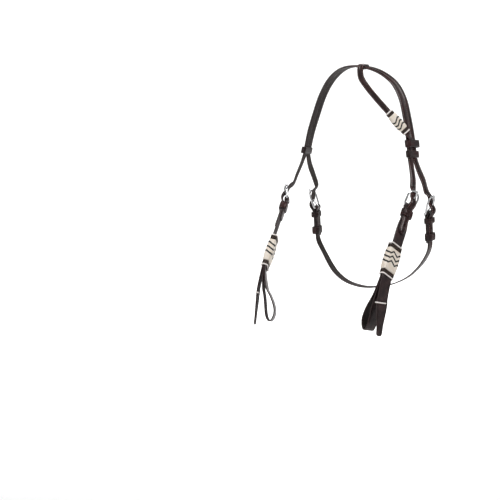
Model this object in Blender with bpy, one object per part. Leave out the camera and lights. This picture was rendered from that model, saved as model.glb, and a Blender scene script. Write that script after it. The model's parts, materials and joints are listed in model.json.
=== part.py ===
"""Western one-ear headstall with a throatlatch, in the shape it takes when worn.

Run: blender --background --python part.py
Metres, +Z up. The wearer faces -Y and its left side, which has the ear piece, is at +X.
The origin is in the middle of the crown strap's underside.
"""

import math

import bmesh
import bpy
import numpy as np
from mathutils import Matrix, Vector

# Driving sizes: where the crown, the buckles and the throatlatch lie when worn
CROWN_HALF_WIDTH = 0.098
CROWN_SET_BACK = 0.020
FORK_DROP = 0.148
CHEEK_HEEL_OUT = 0.1125
CHEEK_HEEL_FORWARD = 0.035
CHEEK_HEEL_DROP = 0.224
CHEEK_LEAN = math.radians(36.5)
CHEEK_TURN = math.radians(20)
THROAT_HEEL_OUT = 0.1055
THROAT_HEEL_BACK = 0.060
THROAT_HEEL_DROP = 0.244
THROAT_LEAN = math.radians(-7)
THROAT_TURN = math.radians(4)
THROAT_LOOP_DROP = 0.076

# Straps
FRONT_STRAND_WIDTH = 0.016
REAR_STRAND_WIDTH = 0.014
CROWN_EDGE = 0.0018
CROWN_CREST = 0.0036
BILLET_WIDTH = 0.0145
BILLET_EDGE = 0.0018
BILLET_CREST = 0.0032
CHEEK_WIDTH = 0.0225
CHEEK_KEEPER_WIDTH = 0.0158
CHEEK_CHAPE_WIDTH = 0.0153
CHEEK_THICKNESS = 0.0022
THROAT_WIDTH = 0.016
THROAT_CHAPE_WIDTH = 0.016
THROAT_THICKNESS = 0.0022
EAR_WIDTH = 0.0100
EAR_EDGE = 0.0018
EAR_CREST = 0.0034
EAR_FOLD_THICKNESS = 0.0016
STATION_SPACING = 0.012

# Clearances
GAP = 0.0003
MOVING_GAP = 0.0004
CUT_OVERRUN = 0.002

# Cheek buckle and its straps, measured along the strap from the heel bar
CHEEK_WIRE_RADIUS = 0.0017
CHEEK_FRAME_LENGTH = 0.027
CHEEK_FRAME_TILT = math.radians(17)
CHEEK_FRAME_SIDE_ROOM = 0.0006
CHEEK_BULGE = 0.0038
CHEEK_KEEPER_NEAR = 0.008
CHEEK_KEEPER_LENGTH = 0.013
CHEEK_BILLET_BELOW = 0.053
CHEEK_RETURN_LENGTH = 0.038
CHEEK_STRAIGHT = 0.135
CHEEK_BILLET_RUN = 0.034

# Throat buckle and its straps
THROAT_WIRE_RADIUS = 0.0016
THROAT_FRAME_LENGTH = 0.030
THROAT_FRAME_TILT = math.radians(17)
THROAT_FRAME_SIDE_ROOM = 0.0006
THROAT_BULGE = 0.0048
THROAT_KEEPER_NEAR = 0.0075
THROAT_KEEPER_LENGTH = 0.009
THROAT_BILLET_BELOW = 0.046
THROAT_RETURN_LENGTH = 0.050
THROAT_STRAIGHT = 0.053
THROAT_BILLET_RUN = 0.036
SLIDER_NEAR = 0.034
SLIDER_LENGTH = 0.012

# Buckle tongue
TONGUE_RADIUS = 0.0012
TONGUE_RISE = math.radians(40)
TONGUE_OVERHANG = 0.003
TONGUE_LIFT_ROOM = 0.0038
TONGUE_SIDE_ROOM = 0.0004

# Keepers
KEEPER_WALL = 0.0018
KEEPER_CORNER = 0.0022
KEEPER_EDGE_ROUND = 0.0004
KEEPER_HEAD_ROOM = 0.0006

# Billet holes
HOLE_RADIUS = 0.0016
CHEEK_HOLE_BELOW = 0.036
THROAT_HOLE_BELOW = 0.025

# Bit end
BIT_BEND_ROOM = 0.018
BIT_TAB_LENGTH = 0.077
BIT_TAB_SHOULDER_WIDTH = 0.025
BIT_TAB_TIP_WIDTH = 0.0135
BIT_HANG_LEAN = math.radians(12)
BIT_PLY_WIDTH = 0.0215
BIT_PLY_THICKNESS = 0.0021
BIT_LOOP_DEPTH = 0.030
BIT_LOOP_LENGTH = 0.069
BIT_LACE_DROP = 0.024
LACE_RADIUS = 0.0009
LACE_HOLE_SHARE = 0.27

# Rawhide knots
KNOT_WALL = 0.0014
KNOT_BULGE = 0.0014
BAND_WALL = 0.0013
RING_RADIUS = 0.0009
CHEEK_KNOT_LENGTH = 0.058
KNOT_END_ROOM = 0.003
CHEEK_BAND_LENGTH = 0.007
EAR_KNOT_LENGTH = 0.045
EAR_BAND_LENGTH = 0.005

# Split keepers
SPLIT_KEEPER_LENGTH = 0.011

# The crown's route: (out, back, down, normal out, normal forward, normal up), shares of the driving sizes
CROWN_SHARES = (
    (0.035, 0.00, 0.000, 0.00, 0.00, 1.00),
    (0.190, 0.12, 0.014, 0.17, 0.00, 0.98),
    (0.380, 0.50, 0.060, 0.40, 0.00, 0.92),
    (0.600, 0.92, 0.175, 0.66, 0.00, 0.75),
    (0.748, 0.98, 0.335, 0.85, 0.00, 0.50),
    (0.850, 0.84, 0.540, 0.95, 0.02, 0.28),
    (0.930, 0.64, 0.740, 0.98, 0.05, 0.18),
    (0.975, 0.52, 0.900, 0.99, 0.08, 0.14),
    (1.000, 0.445, 1.000, 0.99, 0.09, 0.12),
)
# Where the free stretch of each billet lies between fork and buckle, as shares of the way
BILLET_WAY_SHARES = (0.33, 0.66)
BILLET_EASE_SHARE = 0.55

# A tip's width along its length, both as shares
TIP_SHARES = ((0.00, 0.36), (0.14, 0.68), (0.40, 0.92), (1.00, 1.00))
TIP_LENGTH_SHARE = 0.55

# The strap's section: where its raised middle starts and ends, as shares of half the width
SHOULDER_SHARE = 0.62
CREST_SHARE = 0.34
EDGE_ROUND_SHARE = 0.86

# The throat loop under the jaw: (out, back, down, normal out, normal down), shares of its sizes
THROAT_LOOP_SHARES = (
    (0.985, 1.02, 0.10, 0.95, -0.30),
    (0.940, 1.05, 0.24, 0.86, -0.50),
    (0.870, 1.05, 0.40, 0.76, -0.65),
    (0.785, 1.01, 0.56, 0.62, -0.78),
    (0.645, 0.92, 0.75, 0.44, -0.90),
    (0.420, 0.78, 0.91, 0.26, -0.97),
    (0.180, 0.66, 0.98, 0.10, -0.99),
    (0.000, 0.63, 1.00, 0.00, -1.00),
)

# The ear strap between its two loops: (out, forward, down, normal), shares of the crown's sizes
EAR_SHARES = (
    (0.205, 1.22, 0.110, 0.12, -0.85, 0.50),
    (0.315, 1.20, 0.215, 0.30, -0.86, 0.42),
    (0.495, 1.19, 0.345, 0.48, -0.82, 0.30),
)
EAR_KNOT_START_SHARES = (0.700, 1.05, 0.488)
EAR_KNOT_END_SHARES = (0.970, 0.37, 0.714)
EAR_KNOT_NORMAL_SHARES = (0.615, -0.77, 0.18)
EAR_UPPER_LOOP_OUT = 0.0115
EAR_LOWER_LOOP_ABOVE = 0.023
EAR_LOOP_LENGTH = 0.012
# The ear strap's end on the crown: shares of the crown's half width, and down, shares of the loop's length
EAR_END_SHARES = ((0.44, -0.74), (0.42, -0.48), (0.41, 0.0), (0.40, 0.42))

# The bit loop's route down one side and up the other: (inward, down), shares of its depth and length
BIT_LOOP_SHARES = (
    (0.21, 0.26), (0.29, 0.38), (0.37, 0.55), (0.44, 0.72), (0.51, 0.86), (0.60, 0.95), (0.70, 1.00),
    (0.84, 1.00), (0.94, 0.95), (1.01, 0.86), (1.03, 0.74), (0.90, 0.55), (0.70, 0.38), (0.47, 0.22),
)

BLACK_BROWN = (0.030, 0.014, 0.012, 1)
CHARCOAL = (0.030, 0.022, 0.024, 1)
CREAM = (0.80, 0.70, 0.58, 1)
DARK_BAND = (0.040, 0.028, 0.020, 1)
LACE_CREAM = (0.78, 0.70, 0.64, 1)
STEEL = (0.62, 0.62, 0.64, 1)


def clear_scene():
    for thing in list(bpy.data.objects):
        bpy.data.objects.remove(thing, do_unlink=True)
    for group in list(bpy.data.collections):
        bpy.data.collections.remove(group)


def new_collection(name, helper=False):
    group = bpy.data.collections.new(name)
    group.hide_render = helper
    bpy.context.scene.collection.children.link(group)
    return group


def material(name, colour, roughness, metallic=0.0):
    made = bpy.data.materials.new(name)
    made.use_nodes = True
    shader = made.node_tree.nodes["Principled BSDF"]
    shader.inputs["Base Color"].default_value = colour
    shader.inputs["Roughness"].default_value = roughness
    shader.inputs["Metallic"].default_value = metallic
    made.diffuse_color = colour
    return made


class Place:
    """A spot with three directions: across the strap, up along it, and out from the wearer."""

    def __init__(self, origin, up, out):
        self.origin = Vector(origin)
        self.up = Vector(up).normalized()
        out = Vector(out)
        self.out = (out - self.up * out.dot(self.up)).normalized()
        self.across = self.up.cross(self.out)

    def at(self, across, up, out):
        return self.origin + self.across * across + self.up * up + self.out * out

    def turned(self, up, out):
        """A direction given by its parts along up and out."""
        return (self.up * up + self.out * out).normalized()

    def matrix(self):
        """Local X is across, Y is up and Z is out."""
        turn = Matrix((self.across, self.up, self.out)).transposed().to_4x4()
        return Matrix.Translation(self.origin) @ turn

    def end_on(self, up=0.0, out=0.0):
        """Local X is across, Y is out and Z runs down the strap: for an outline swept along it."""
        turn = Matrix((self.across, self.out, -self.up)).transposed().to_4x4()
        return Matrix.Translation(self.at(0, up, out)) @ turn


class Station:
    """One stop on a strap's route: the middle of its underside, its outward side and its section."""

    def __init__(self, spot, normal, width, edge, crest):
        self.values = np.array([*spot, *normal, width, edge, crest], float)


def curve_between(before, start, end, after, share):
    """A centripetal Catmull-Rom curve through start and end."""
    spots = [before, start, end, after]
    times = [0.0]
    for a, b in zip(spots, spots[1:]):
        times.append(times[-1] + max(np.linalg.norm(b[:3] - a[:3]), STATION_SPACING / 1000) ** 0.5)
    now = times[1] + (times[2] - times[1]) * share

    def mix(a, b, ta, tb):
        return a * (tb - now) / (tb - ta) + b * (now - ta) / (tb - ta)

    a1 = mix(spots[0], spots[1], times[0], times[1])
    a2 = mix(spots[1], spots[2], times[1], times[2])
    a3 = mix(spots[2], spots[3], times[2], times[3])
    b1 = mix(a1, a2, times[0], times[2])
    b2 = mix(a2, a3, times[1], times[3])
    return mix(b1, b2, times[1], times[2])


class Route:
    """A smooth run through stations, with the strap's directions at each of its steps."""

    def __init__(self, stations, spacing=None):
        spacing = spacing or STATION_SPACING
        rows = [station.values for station in stations]
        first = 2 * rows[0] - rows[1]
        last = 2 * rows[-1] - rows[-2]
        ends = [first, *rows, last]
        self.steps = []
        for i in range(1, len(ends) - 2):
            count = max(1, math.ceil(np.linalg.norm(ends[i + 1][:3] - ends[i][:3]) / spacing))
            for k in range(count):
                self.steps.append(curve_between(*ends[i - 1:i + 3], k / count))
        self.steps.append(rows[-1])
        self.steps = np.array(self.steps)
        self.spots = self.steps[:, :3]
        runs = np.gradient(self.spots, axis=0)
        self.along = runs / np.linalg.norm(runs, axis=1)[:, None]
        normals = self.steps[:, 3:6]
        normals = normals - self.along * np.sum(normals * self.along, axis=1)[:, None]
        self.out = normals / np.linalg.norm(normals, axis=1)[:, None]
        self.across = np.cross(self.out, self.along)
        gaps = np.linalg.norm(np.diff(self.spots, axis=0), axis=1)
        self.lengths = np.concatenate([[0.0], np.cumsum(gaps)])

    def place(self, length):
        """The place at a length along the route, with up running back towards its start."""
        spot = [np.interp(length, self.lengths, self.spots[:, i]) for i in range(3)]
        along = [np.interp(length, self.lengths, self.along[:, i]) for i in range(3)]
        out = [np.interp(length, self.lengths, self.out[:, i]) for i in range(3)]
        return Place(spot, -Vector(along), out)

    def point(self, step, across, out):
        return self.spots[step] + self.across[step] * across + self.out[step] * out


def flat_section(width, edge, crest):
    """Six (across, out) points: a flat strap with rounded edges."""
    half = width / 2
    flat = half * EDGE_ROUND_SHARE
    return ((-flat, 0), (flat, 0), (half, crest / 2), (flat, crest), (-flat, crest), (-half, crest / 2))


def strap_section(width, edge, crest):
    """Ten (across, out) points: a flat underside, rounded edges and a raised middle."""
    half = width / 2
    flat = half * EDGE_ROUND_SHARE
    shoulder = half * SHOULDER_SHARE
    top = half * CREST_SHARE
    rise = edge + (crest - edge) / 3
    return (
        (-flat, 0), (flat, 0), (half, edge / 2), (flat, edge), (shoulder, rise),
        (top, crest), (-top, crest), (-shoulder, rise), (-flat, edge), (-half, edge / 2),
    )


def skin(shape, ring, following):
    """Faces between two rings of as many points."""
    for i, corner in enumerate(ring):
        after = (i + 1) % len(ring)
        shape.faces.new((corner, ring[after], following[after], following[i]))


def finish(name, shape, group, paint):
    """The bmesh as a named object of the collection."""
    bmesh.ops.recalc_face_normals(shape, faces=shape.faces)
    if shape.calc_volume(signed=True) < 0:
        bmesh.ops.reverse_faces(shape, faces=shape.faces)
    data = bpy.data.meshes.new(name)
    shape.to_mesh(data)
    shape.free()
    made = bpy.data.objects.new(name, data)
    data.materials.append(paint)
    group.objects.link(made)
    return made


def loft(name, rings, group, paint, closed=False):
    """A body from rings of points: capped at its two ends, or joined round into a sleeve."""
    shape = bmesh.new()
    corners = [[shape.verts.new(point) for point in ring] for ring in rings]
    for ring, following in zip(corners, corners[1:]):
        skin(shape, ring, following)
    if closed:
        skin(shape, corners[-1], corners[0])
    else:
        shape.faces.new(corners[0])
        shape.faces.new(corners[-1])
    return finish(name, shape, group, paint)


def strap(name, route, group, paint, shape=flat_section):
    """A strap laid along its route."""
    rings = []
    for step, values in enumerate(route.steps):
        section = shape(*values[6:9])
        rings.append([route.point(step, across, out) for across, out in section])
    return loft(name, rings, group, paint)


def cut(body, cutter):
    """Takes a hidden cutter out of a body for good."""
    change = body.modifiers.new(cutter.name, "BOOLEAN")
    change.operation = "DIFFERENCE"
    change.solver = "EXACT"
    change.object = cutter


def hide_cutter(cutter):
    cutter.hide_render = True
    cutter.display_type = "WIRE"


def bar_cutter(name, size, matrix, group, paint):
    """A box with rounded ends across, long along local Z, for a slot."""
    wide, tall, deep = size
    shape = bmesh.new()
    bmesh.ops.create_cube(shape, size=1)
    bmesh.ops.scale(shape, vec=(wide, tall, deep), verts=shape.verts)
    made = finish(name, shape, group, paint)
    made.matrix_world = matrix
    hide_cutter(made)
    return made


def round_cutter(name, radius, depth, matrix, group, paint):
    shape = bmesh.new()
    bmesh.ops.create_cone(
        shape, cap_ends=True, segments=8, radius1=radius, radius2=radius, depth=depth
    )
    made = finish(name, shape, group, paint)
    made.matrix_world = matrix
    hide_cutter(made)
    return made


def rounded_outline(half_width, low, high, corner, per_corner=3):
    """Points round a rectangle with round corners, anticlockwise from the right side's low end."""
    middles = (
        (half_width - corner, low + corner, -90),
        (half_width - corner, high - corner, 0),
        (corner - half_width, high - corner, 90),
        (corner - half_width, low + corner, 180),
    )
    points = []
    for x, y, start in middles:
        for k in range(per_corner):
            angle = math.radians(start + 90 * k / (per_corner - 1))
            points.append((x + corner * math.cos(angle), y + corner * math.sin(angle)))
    return points


def poly_spline(data, points, cyclic):
    spline = data.splines.new("POLY")
    spline.points.add(len(points) - 1)
    for corner, point in zip(spline.points, points):
        corner.co = (*point, 1)
    spline.use_cyclic_u = cyclic


def wire(name, points, radius, group, paint, cyclic=True):
    """A round wire bent through the points."""
    data = bpy.data.curves.new(name, "CURVE")
    data.dimensions = "3D"
    data.bevel_depth = radius
    data.bevel_resolution = 2
    data.use_fill_caps = not cyclic
    poly_spline(data, points, cyclic)
    data.materials.append(paint)
    made = bpy.data.objects.new(name, data)
    group.objects.link(made)
    return made


def keeper(name, place, near, length, half_width, low, high, group, paint):
    """A leather loop round the strap, swept down it from near."""
    data = bpy.data.curves.new(name, "CURVE")
    data.dimensions = "2D"
    data.fill_mode = "BOTH"
    data.bevel_depth = KEEPER_EDGE_ROUND
    data.bevel_resolution = 0
    data.extrude = length / 2 - KEEPER_EDGE_ROUND
    shrink = KEEPER_EDGE_ROUND
    wall = KEEPER_WALL - shrink
    corner = min(KEEPER_CORNER, (high - low) / 3)
    outer = rounded_outline(half_width + wall, low - wall, high + wall, corner + wall)
    inner = rounded_outline(half_width + shrink, low - shrink, high + shrink, corner)
    poly_spline(data, [(*point, 0) for point in outer], True)
    poly_spline(data, [(*point, 0) for point in inner], True)
    data.materials.append(paint)
    made = bpy.data.objects.new(name, data)
    made.matrix_world = place.end_on(up=-near - length / 2)
    group.objects.link(made)
    return made


class BuckleSizes:
    """The sizes of one kind of buckle and of the straps that meet in it."""

    def __init__(self, wire_radius, length, tilt, side_room, chape_width, thickness, bulge):
        self.wire = wire_radius
        self.length = length
        self.tilt = tilt
        self.chape_width = chape_width
        self.thickness = thickness
        self.bulge = bulge
        self.half_inside = max(chape_width, BILLET_WIDTH) / 2 + side_room
        self.outer_up = length * math.cos(tilt)
        self.outer_out = length * math.sin(tilt)
        self.fold_inner = wire_radius + GAP
        self.layer_low = GAP / 2
        self.layer_high = GAP / 2 + thickness
        self.billet_low = self.layer_high + GAP
        self.fold_clear = self.fold_inner + thickness + GAP
        self.bulge_out = self.fold_clear + bulge
        self.under_bar = self.outer_out - wire_radius - GAP - BILLET_CREST - GAP


def cheek_sizes():
    return BuckleSizes(
        CHEEK_WIRE_RADIUS, CHEEK_FRAME_LENGTH, CHEEK_FRAME_TILT, CHEEK_FRAME_SIDE_ROOM,
        CHEEK_CHAPE_WIDTH, CHEEK_THICKNESS, CHEEK_BULGE,
    )


def throat_sizes():
    return BuckleSizes(
        THROAT_WIRE_RADIUS, THROAT_FRAME_LENGTH, THROAT_FRAME_TILT, THROAT_FRAME_SIDE_ROOM,
        THROAT_CHAPE_WIDTH, THROAT_THICKNESS, THROAT_BULGE,
    )


def leaning_place(side, out, back, drop, lean, turn):
    """A place at the wearer's side: up leans back by lean, and out turns forward by turn."""
    up = (0, math.sin(lean), math.cos(lean))
    normal = (
        side * math.cos(turn),
        -math.sin(turn) * math.cos(lean),
        math.sin(turn) * math.sin(lean),
    )
    return Place((side * out, back, -drop), up, normal)


def cheek_place(side):
    return leaning_place(
        side, CHEEK_HEEL_OUT, -CHEEK_HEEL_FORWARD, CHEEK_HEEL_DROP, CHEEK_LEAN, CHEEK_TURN
    )


def throat_place(side):
    return leaning_place(
        side, THROAT_HEEL_OUT, THROAT_HEEL_BACK, THROAT_HEEL_DROP, THROAT_LEAN, THROAT_TURN
    )


def crown_stations(side):
    """Stations from the crown's middle to one side's fork."""
    found = []
    for out, back, down, normal_out, normal_forward, normal_up in CROWN_SHARES:
        spot = (side * out * CROWN_HALF_WIDTH, back * CROWN_SET_BACK, -down * FORK_DROP)
        normal = (side * normal_out, -normal_forward, normal_up)
        found.append(Station(spot, normal, FRONT_STRAND_WIDTH, CROWN_EDGE, CROWN_CREST))
    return found


def crown_route():
    """The crown from the wearer's left fork over the top to its right fork."""
    return Route(crown_stations(1)[::-1] + crown_stations(-1))


def billet_stations(place, sizes, below, run, fork, fork_normal, fork_down):
    """Stations of one billet from its tip up to the fork."""
    width, edge, crest = BILLET_WIDTH, BILLET_EDGE, BILLET_CREST
    found = []
    tip = width * TIP_LENGTH_SHARE
    for along, share in TIP_SHARES:
        spot = place.at(0, tip * along - below, sizes.billet_low)
        found.append(Station(spot, place.out, width * share, edge, crest))
    lay = sizes.billet_low
    bulge = sizes.bulge_out
    half_way = (lay + bulge) / 2
    wire_size = sizes.wire
    ups = (
        (-below / 2, lay), (-5.5 * wire_size, lay), (-4.4 * wire_size, lay + GAP / 2),
        (-1.5 * wire_size, half_way), (1.5 * wire_size, bulge), (5 * wire_size, bulge),
        (9 * wire_size, (bulge + 2 * sizes.under_bar) / 3),
        (sizes.outer_up, sizes.under_bar), (run, -sizes.layer_high),
    )
    for up, out in ups:
        if up > tip - below + GAP:
            found.append(Station(place.at(0, up, out), place.out, width, edge, crest))
    top = place.at(0, run, -sizes.layer_high)
    reach = (top - fork).length
    leave = place.up * reach * BILLET_EASE_SHARE
    arrive = fork_down * reach * BILLET_EASE_SHARE
    for share in reversed(BILLET_WAY_SHARES):
        back = 1 - share
        spot = (
            (2 * share ** 3 - 3 * share ** 2 + 1) * fork
            + (share ** 3 - 2 * share ** 2 + share) * arrive
            + (3 * share ** 2 - 2 * share ** 3) * top
            + (share ** 3 - share ** 2) * -leave
        )
        normal = fork_normal * back + place.out * share
        found.append(Station(spot, normal, width, edge, crest))
    return found


def crown_piece(group, paint):
    """One piece of leather: the doubled crown, split at each end into a cheek and a throat billet."""
    crown = crown_route()
    front_shift = REAR_STRAND_WIDTH / 2
    rear_shift = -FRONT_STRAND_WIDTH / 2
    seam = (REAR_STRAND_WIDTH - FRONT_STRAND_WIDTH) / 2
    front = [(a + front_shift, o) for a, o in strap_section(FRONT_STRAND_WIDTH, CROWN_EDGE, CROWN_CREST)]
    rear = [(a + rear_shift, o) for a, o in strap_section(REAR_STRAND_WIDTH, CROWN_EDGE, CROWN_CREST)]
    shape = bmesh.new()
    last = len(crown.steps) - 1
    rows = []
    for step in range(last + 1):
        def corner(across, out):
            return shape.verts.new(crown.point(step, across, out))
        under = corner(seam, 0)
        valley = corner(seam, CROWN_EDGE)
        fronts = {i: corner(*front[i]) for i in range(1, 8)}
        rears = {i: corner(*rear[i]) for i in (4, 5, 6, 7, 8, 9, 0)}
        rows.append((under, valley, fronts, rears))
    rings = []
    for under, valley, fronts, rears in rows:
        rings.append(
            [under, *(fronts[i] for i in range(1, 8)), valley, *(rears[i] for i in (4, 5, 6, 7, 8, 9, 0))]
        )
    for ring, following in zip(rings, rings[1:]):
        skin(shape, ring, following)
    for step, side in ((0, 1), (last, -1)):
        under, valley, fronts, rears = rows[step]
        middle = shape.verts.new(crown.point(step, seam, CROWN_EDGE / 2))
        down = Vector(crown.along[step]) * (-1 if step == 0 else 1)
        normal = Vector(crown.out[step])
        front_ring = [under, *(fronts[i] for i in range(1, 8)), valley, middle]
        rear_ring = [rears[0], under, middle, valley, *(rears[i] for i in range(4, 10))]
        runs = (
            (front_ring, cheek_place(side), cheek_sizes(), CHEEK_BILLET_BELOW, CHEEK_BILLET_RUN,
             front_shift, FRONT_STRAND_WIDTH),
            (rear_ring, throat_place(side), throat_sizes(), THROAT_BILLET_BELOW, THROAT_BILLET_RUN,
             rear_shift, REAR_STRAND_WIDTH),
        )
        for start, place, sizes, below, run, shift, width in runs:
            fork = Vector(crown.point(step, shift, 0))
            stations = billet_stations(place, sizes, below, run, fork, normal, down)
            stations.append(Station(fork, normal, width, CROWN_EDGE, CROWN_CREST))
            if side == -1:
                stations.reverse()
            route = Route(stations)
            steps = list(range(len(route.steps)))
            if side == 1:
                steps.reverse()
            ring = start
            for index in steps[1:]:
                section = strap_section(*route.steps[index][6:9])
                following = [shape.verts.new(route.point(index, a, o)) for a, o in section]
                skin(shape, ring, following)
                ring = following
            shape.faces.new(ring)
    return finish("crown_strap", shape, group, paint)


def billet_cuts(body, name, place, sizes, hole_below, helpers, paint):
    """The slot that the tongue comes through, and a spare hole below it."""
    rise = Vector((0, math.cos(TONGUE_RISE), math.sin(TONGUE_RISE)))
    start = tongue_leave(sizes)
    reach = sizes.bulge_out + BILLET_CREST / 2 - start[1]
    centre = Vector((0, start[0], start[1])) + rise * (reach / math.sin(TONGUE_RISE))
    tall = 2 * TONGUE_RADIUS + 2 * TONGUE_SIDE_ROOM + TONGUE_LIFT_ROOM
    wide = 2 * TONGUE_RADIUS + 2 * TONGUE_SIDE_ROOM
    across = Vector((1, 0, 0))
    lift = rise.cross(across) * -1
    middle = centre + lift * (TONGUE_LIFT_ROOM / 2)
    turn = Matrix((across, lift, across.cross(lift))).transposed().to_4x4()
    matrix = place.matrix() @ Matrix.Translation(middle) @ turn
    deep = 6 * BILLET_CREST + CUT_OVERRUN
    cut(body, bar_cutter(f"{name}_slot_cutter", (wide, tall, deep), matrix, helpers, paint))
    spot = Matrix.Translation((0, -hole_below, sizes.billet_low + BILLET_CREST / 2))
    hole_depth = BILLET_CREST + CUT_OVERRUN
    spare = place.matrix() @ spot
    cut(body, round_cutter(f"{name}_hole_cutter", HOLE_RADIUS, hole_depth, spare, helpers, paint))


def tongue_leave(sizes):
    """Where the tongue's shank leaves its ring round the heel bar, as (up, out)."""
    ring = sizes.wire + MOVING_GAP + TONGUE_RADIUS
    return ring * math.sin(TONGUE_RISE), -ring * math.cos(TONGUE_RISE)


def tongue_points(sizes):
    """The tongue's middle line: round the heel bar, up through the slot and over the outer bar."""
    ring = sizes.wire + MOVING_GAP + TONGUE_RADIUS
    leave = math.degrees(TONGUE_RISE) - 90
    points = []
    turns = 10
    wrap = 262
    for k in range(turns + 1):
        angle = math.radians(leave - wrap + wrap * k / turns)
        points.append((0, ring * math.cos(angle), ring * math.sin(angle)))
    start = tongue_leave(sizes)
    rest = sizes.wire + GAP + TONGUE_RADIUS
    over = (
        sizes.outer_up - rest * math.sin(sizes.tilt),
        sizes.outer_out + rest * math.cos(sizes.tilt),
    )
    slope = math.tan(sizes.tilt / 2)
    rise = math.tan(TONGUE_RISE)
    bend = (start[1] - over[1] + slope * over[0] - rise * start[0]) / (slope - rise)
    bend_out = start[1] + rise * (bend - start[0])
    soften = 2 * TONGUE_RADIUS
    points.append((0, bend - soften * math.cos(TONGUE_RISE), bend_out - soften * math.sin(TONGUE_RISE)))
    points.append((0, bend, bend_out - soften / 5))
    points.append((0, bend + soften, bend_out + slope * soften))
    points.append((0, over[0], over[1]))
    points.append((0, over[0] + TONGUE_OVERHANG, over[1] + slope * TONGUE_OVERHANG))
    return points


def frame_points(sizes):
    """The buckle frame's middle line: straight heel and outer bars, bowed sides, round corners."""
    half = sizes.half_inside + sizes.wire
    heel_corner = 1.5 * sizes.wire
    outer_corner = 4 * sizes.wire
    side_bow = sizes.wire
    points = []
    for side in (1, -1):
        corner = [
            (half - heel_corner, 0), (half - heel_corner / 3, heel_corner / 3), (half, heel_corner),
            (half + side_bow / 2, sizes.length / 3),
            (half + side_bow, sizes.length - 1.6 * outer_corner),
            (half + side_bow / 2, sizes.length - outer_corner),
            (half - outer_corner / 4, sizes.length - outer_corner / 3),
            (half - outer_corner, sizes.length),
        ]
        if side == -1:
            corner = [(-x, y) for x, y in reversed(corner)]
        points += corner
    return [(x, y, 0) for x, y in points]


def buckle(name, place, sizes, group, paint):
    """A buckle's frame and tongue, both turning on the heel bar, which is their origin."""
    pivot = bpy.data.objects.new(f"{name}_pivot", None)
    pivot.matrix_world = place.matrix()
    group.objects.link(pivot)
    frame = wire(f"{name}_frame", frame_points(sizes), sizes.wire, group, paint)
    frame.parent = pivot
    frame.rotation_euler = (sizes.tilt, 0, 0)
    tongue = wire(
        f"{name}_tongue", tongue_points(sizes), TONGUE_RADIUS, group, paint, cyclic=False
    )
    tongue.parent = pivot


def chape_stations(place, sizes, return_length, width):
    """Stations of a strap's end folded round a heel bar, from the hidden end to below the bar."""
    flat = sizes.thickness
    found = [
        Station(place.at(0, -return_length, -sizes.layer_low), -place.out, width, flat, flat),
        Station(place.at(0, -return_length / 2, -sizes.layer_low), -place.out, width, flat, flat),
        Station(place.at(0, -6 * sizes.wire, -sizes.layer_low), -place.out, width, flat, flat),
        Station(place.at(0, -4 * sizes.wire, -sizes.layer_low), -place.out, width, flat, flat),
    ]
    for angle in (-110, -70, -35, 0, 35, 70, 110):
        turn = math.radians(angle)
        up, out = math.cos(turn), math.sin(turn)
        spot = place.at(0, sizes.fold_inner * up, sizes.fold_inner * out)
        found.append(Station(spot, place.turned(up, out), width, flat, flat))
    for down in (4 * sizes.wire, 6 * sizes.wire):
        spot = place.at(0, -down, sizes.layer_low)
        found.append(Station(spot, place.out, width, flat, flat))
    return found


def chape_slot(body, name, place, sizes, helpers, paint):
    """The slot in the fold that the tongue's ring turns in."""
    wide = 2 * TONGUE_RADIUS + 2 * TONGUE_SIDE_ROOM
    reach = sizes.fold_inner + sizes.thickness
    tall = reach + CUT_OVERRUN + 3 * sizes.wire
    deep = 2 * (reach + CUT_OVERRUN)
    shift = (reach + CUT_OVERRUN - 3 * sizes.wire) / 2
    matrix = place.matrix() @ Matrix.Translation((0, shift, 0))
    cut(body, bar_cutter(f"{name}_chape_cutter", (wide, tall, deep), matrix, helpers, paint))


def bit_end_places(side):
    """The place at the lower end of the cheek strap's straight stretch, and the one that hangs below it."""
    cheek = cheek_place(side)
    corner = cheek.at(0, -CHEEK_STRAIGHT - BIT_BEND_ROOM, 0)
    hang = Place(corner, (0, math.sin(BIT_HANG_LEAN), math.cos(BIT_HANG_LEAN)), cheek.out)
    return cheek, hang


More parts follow.
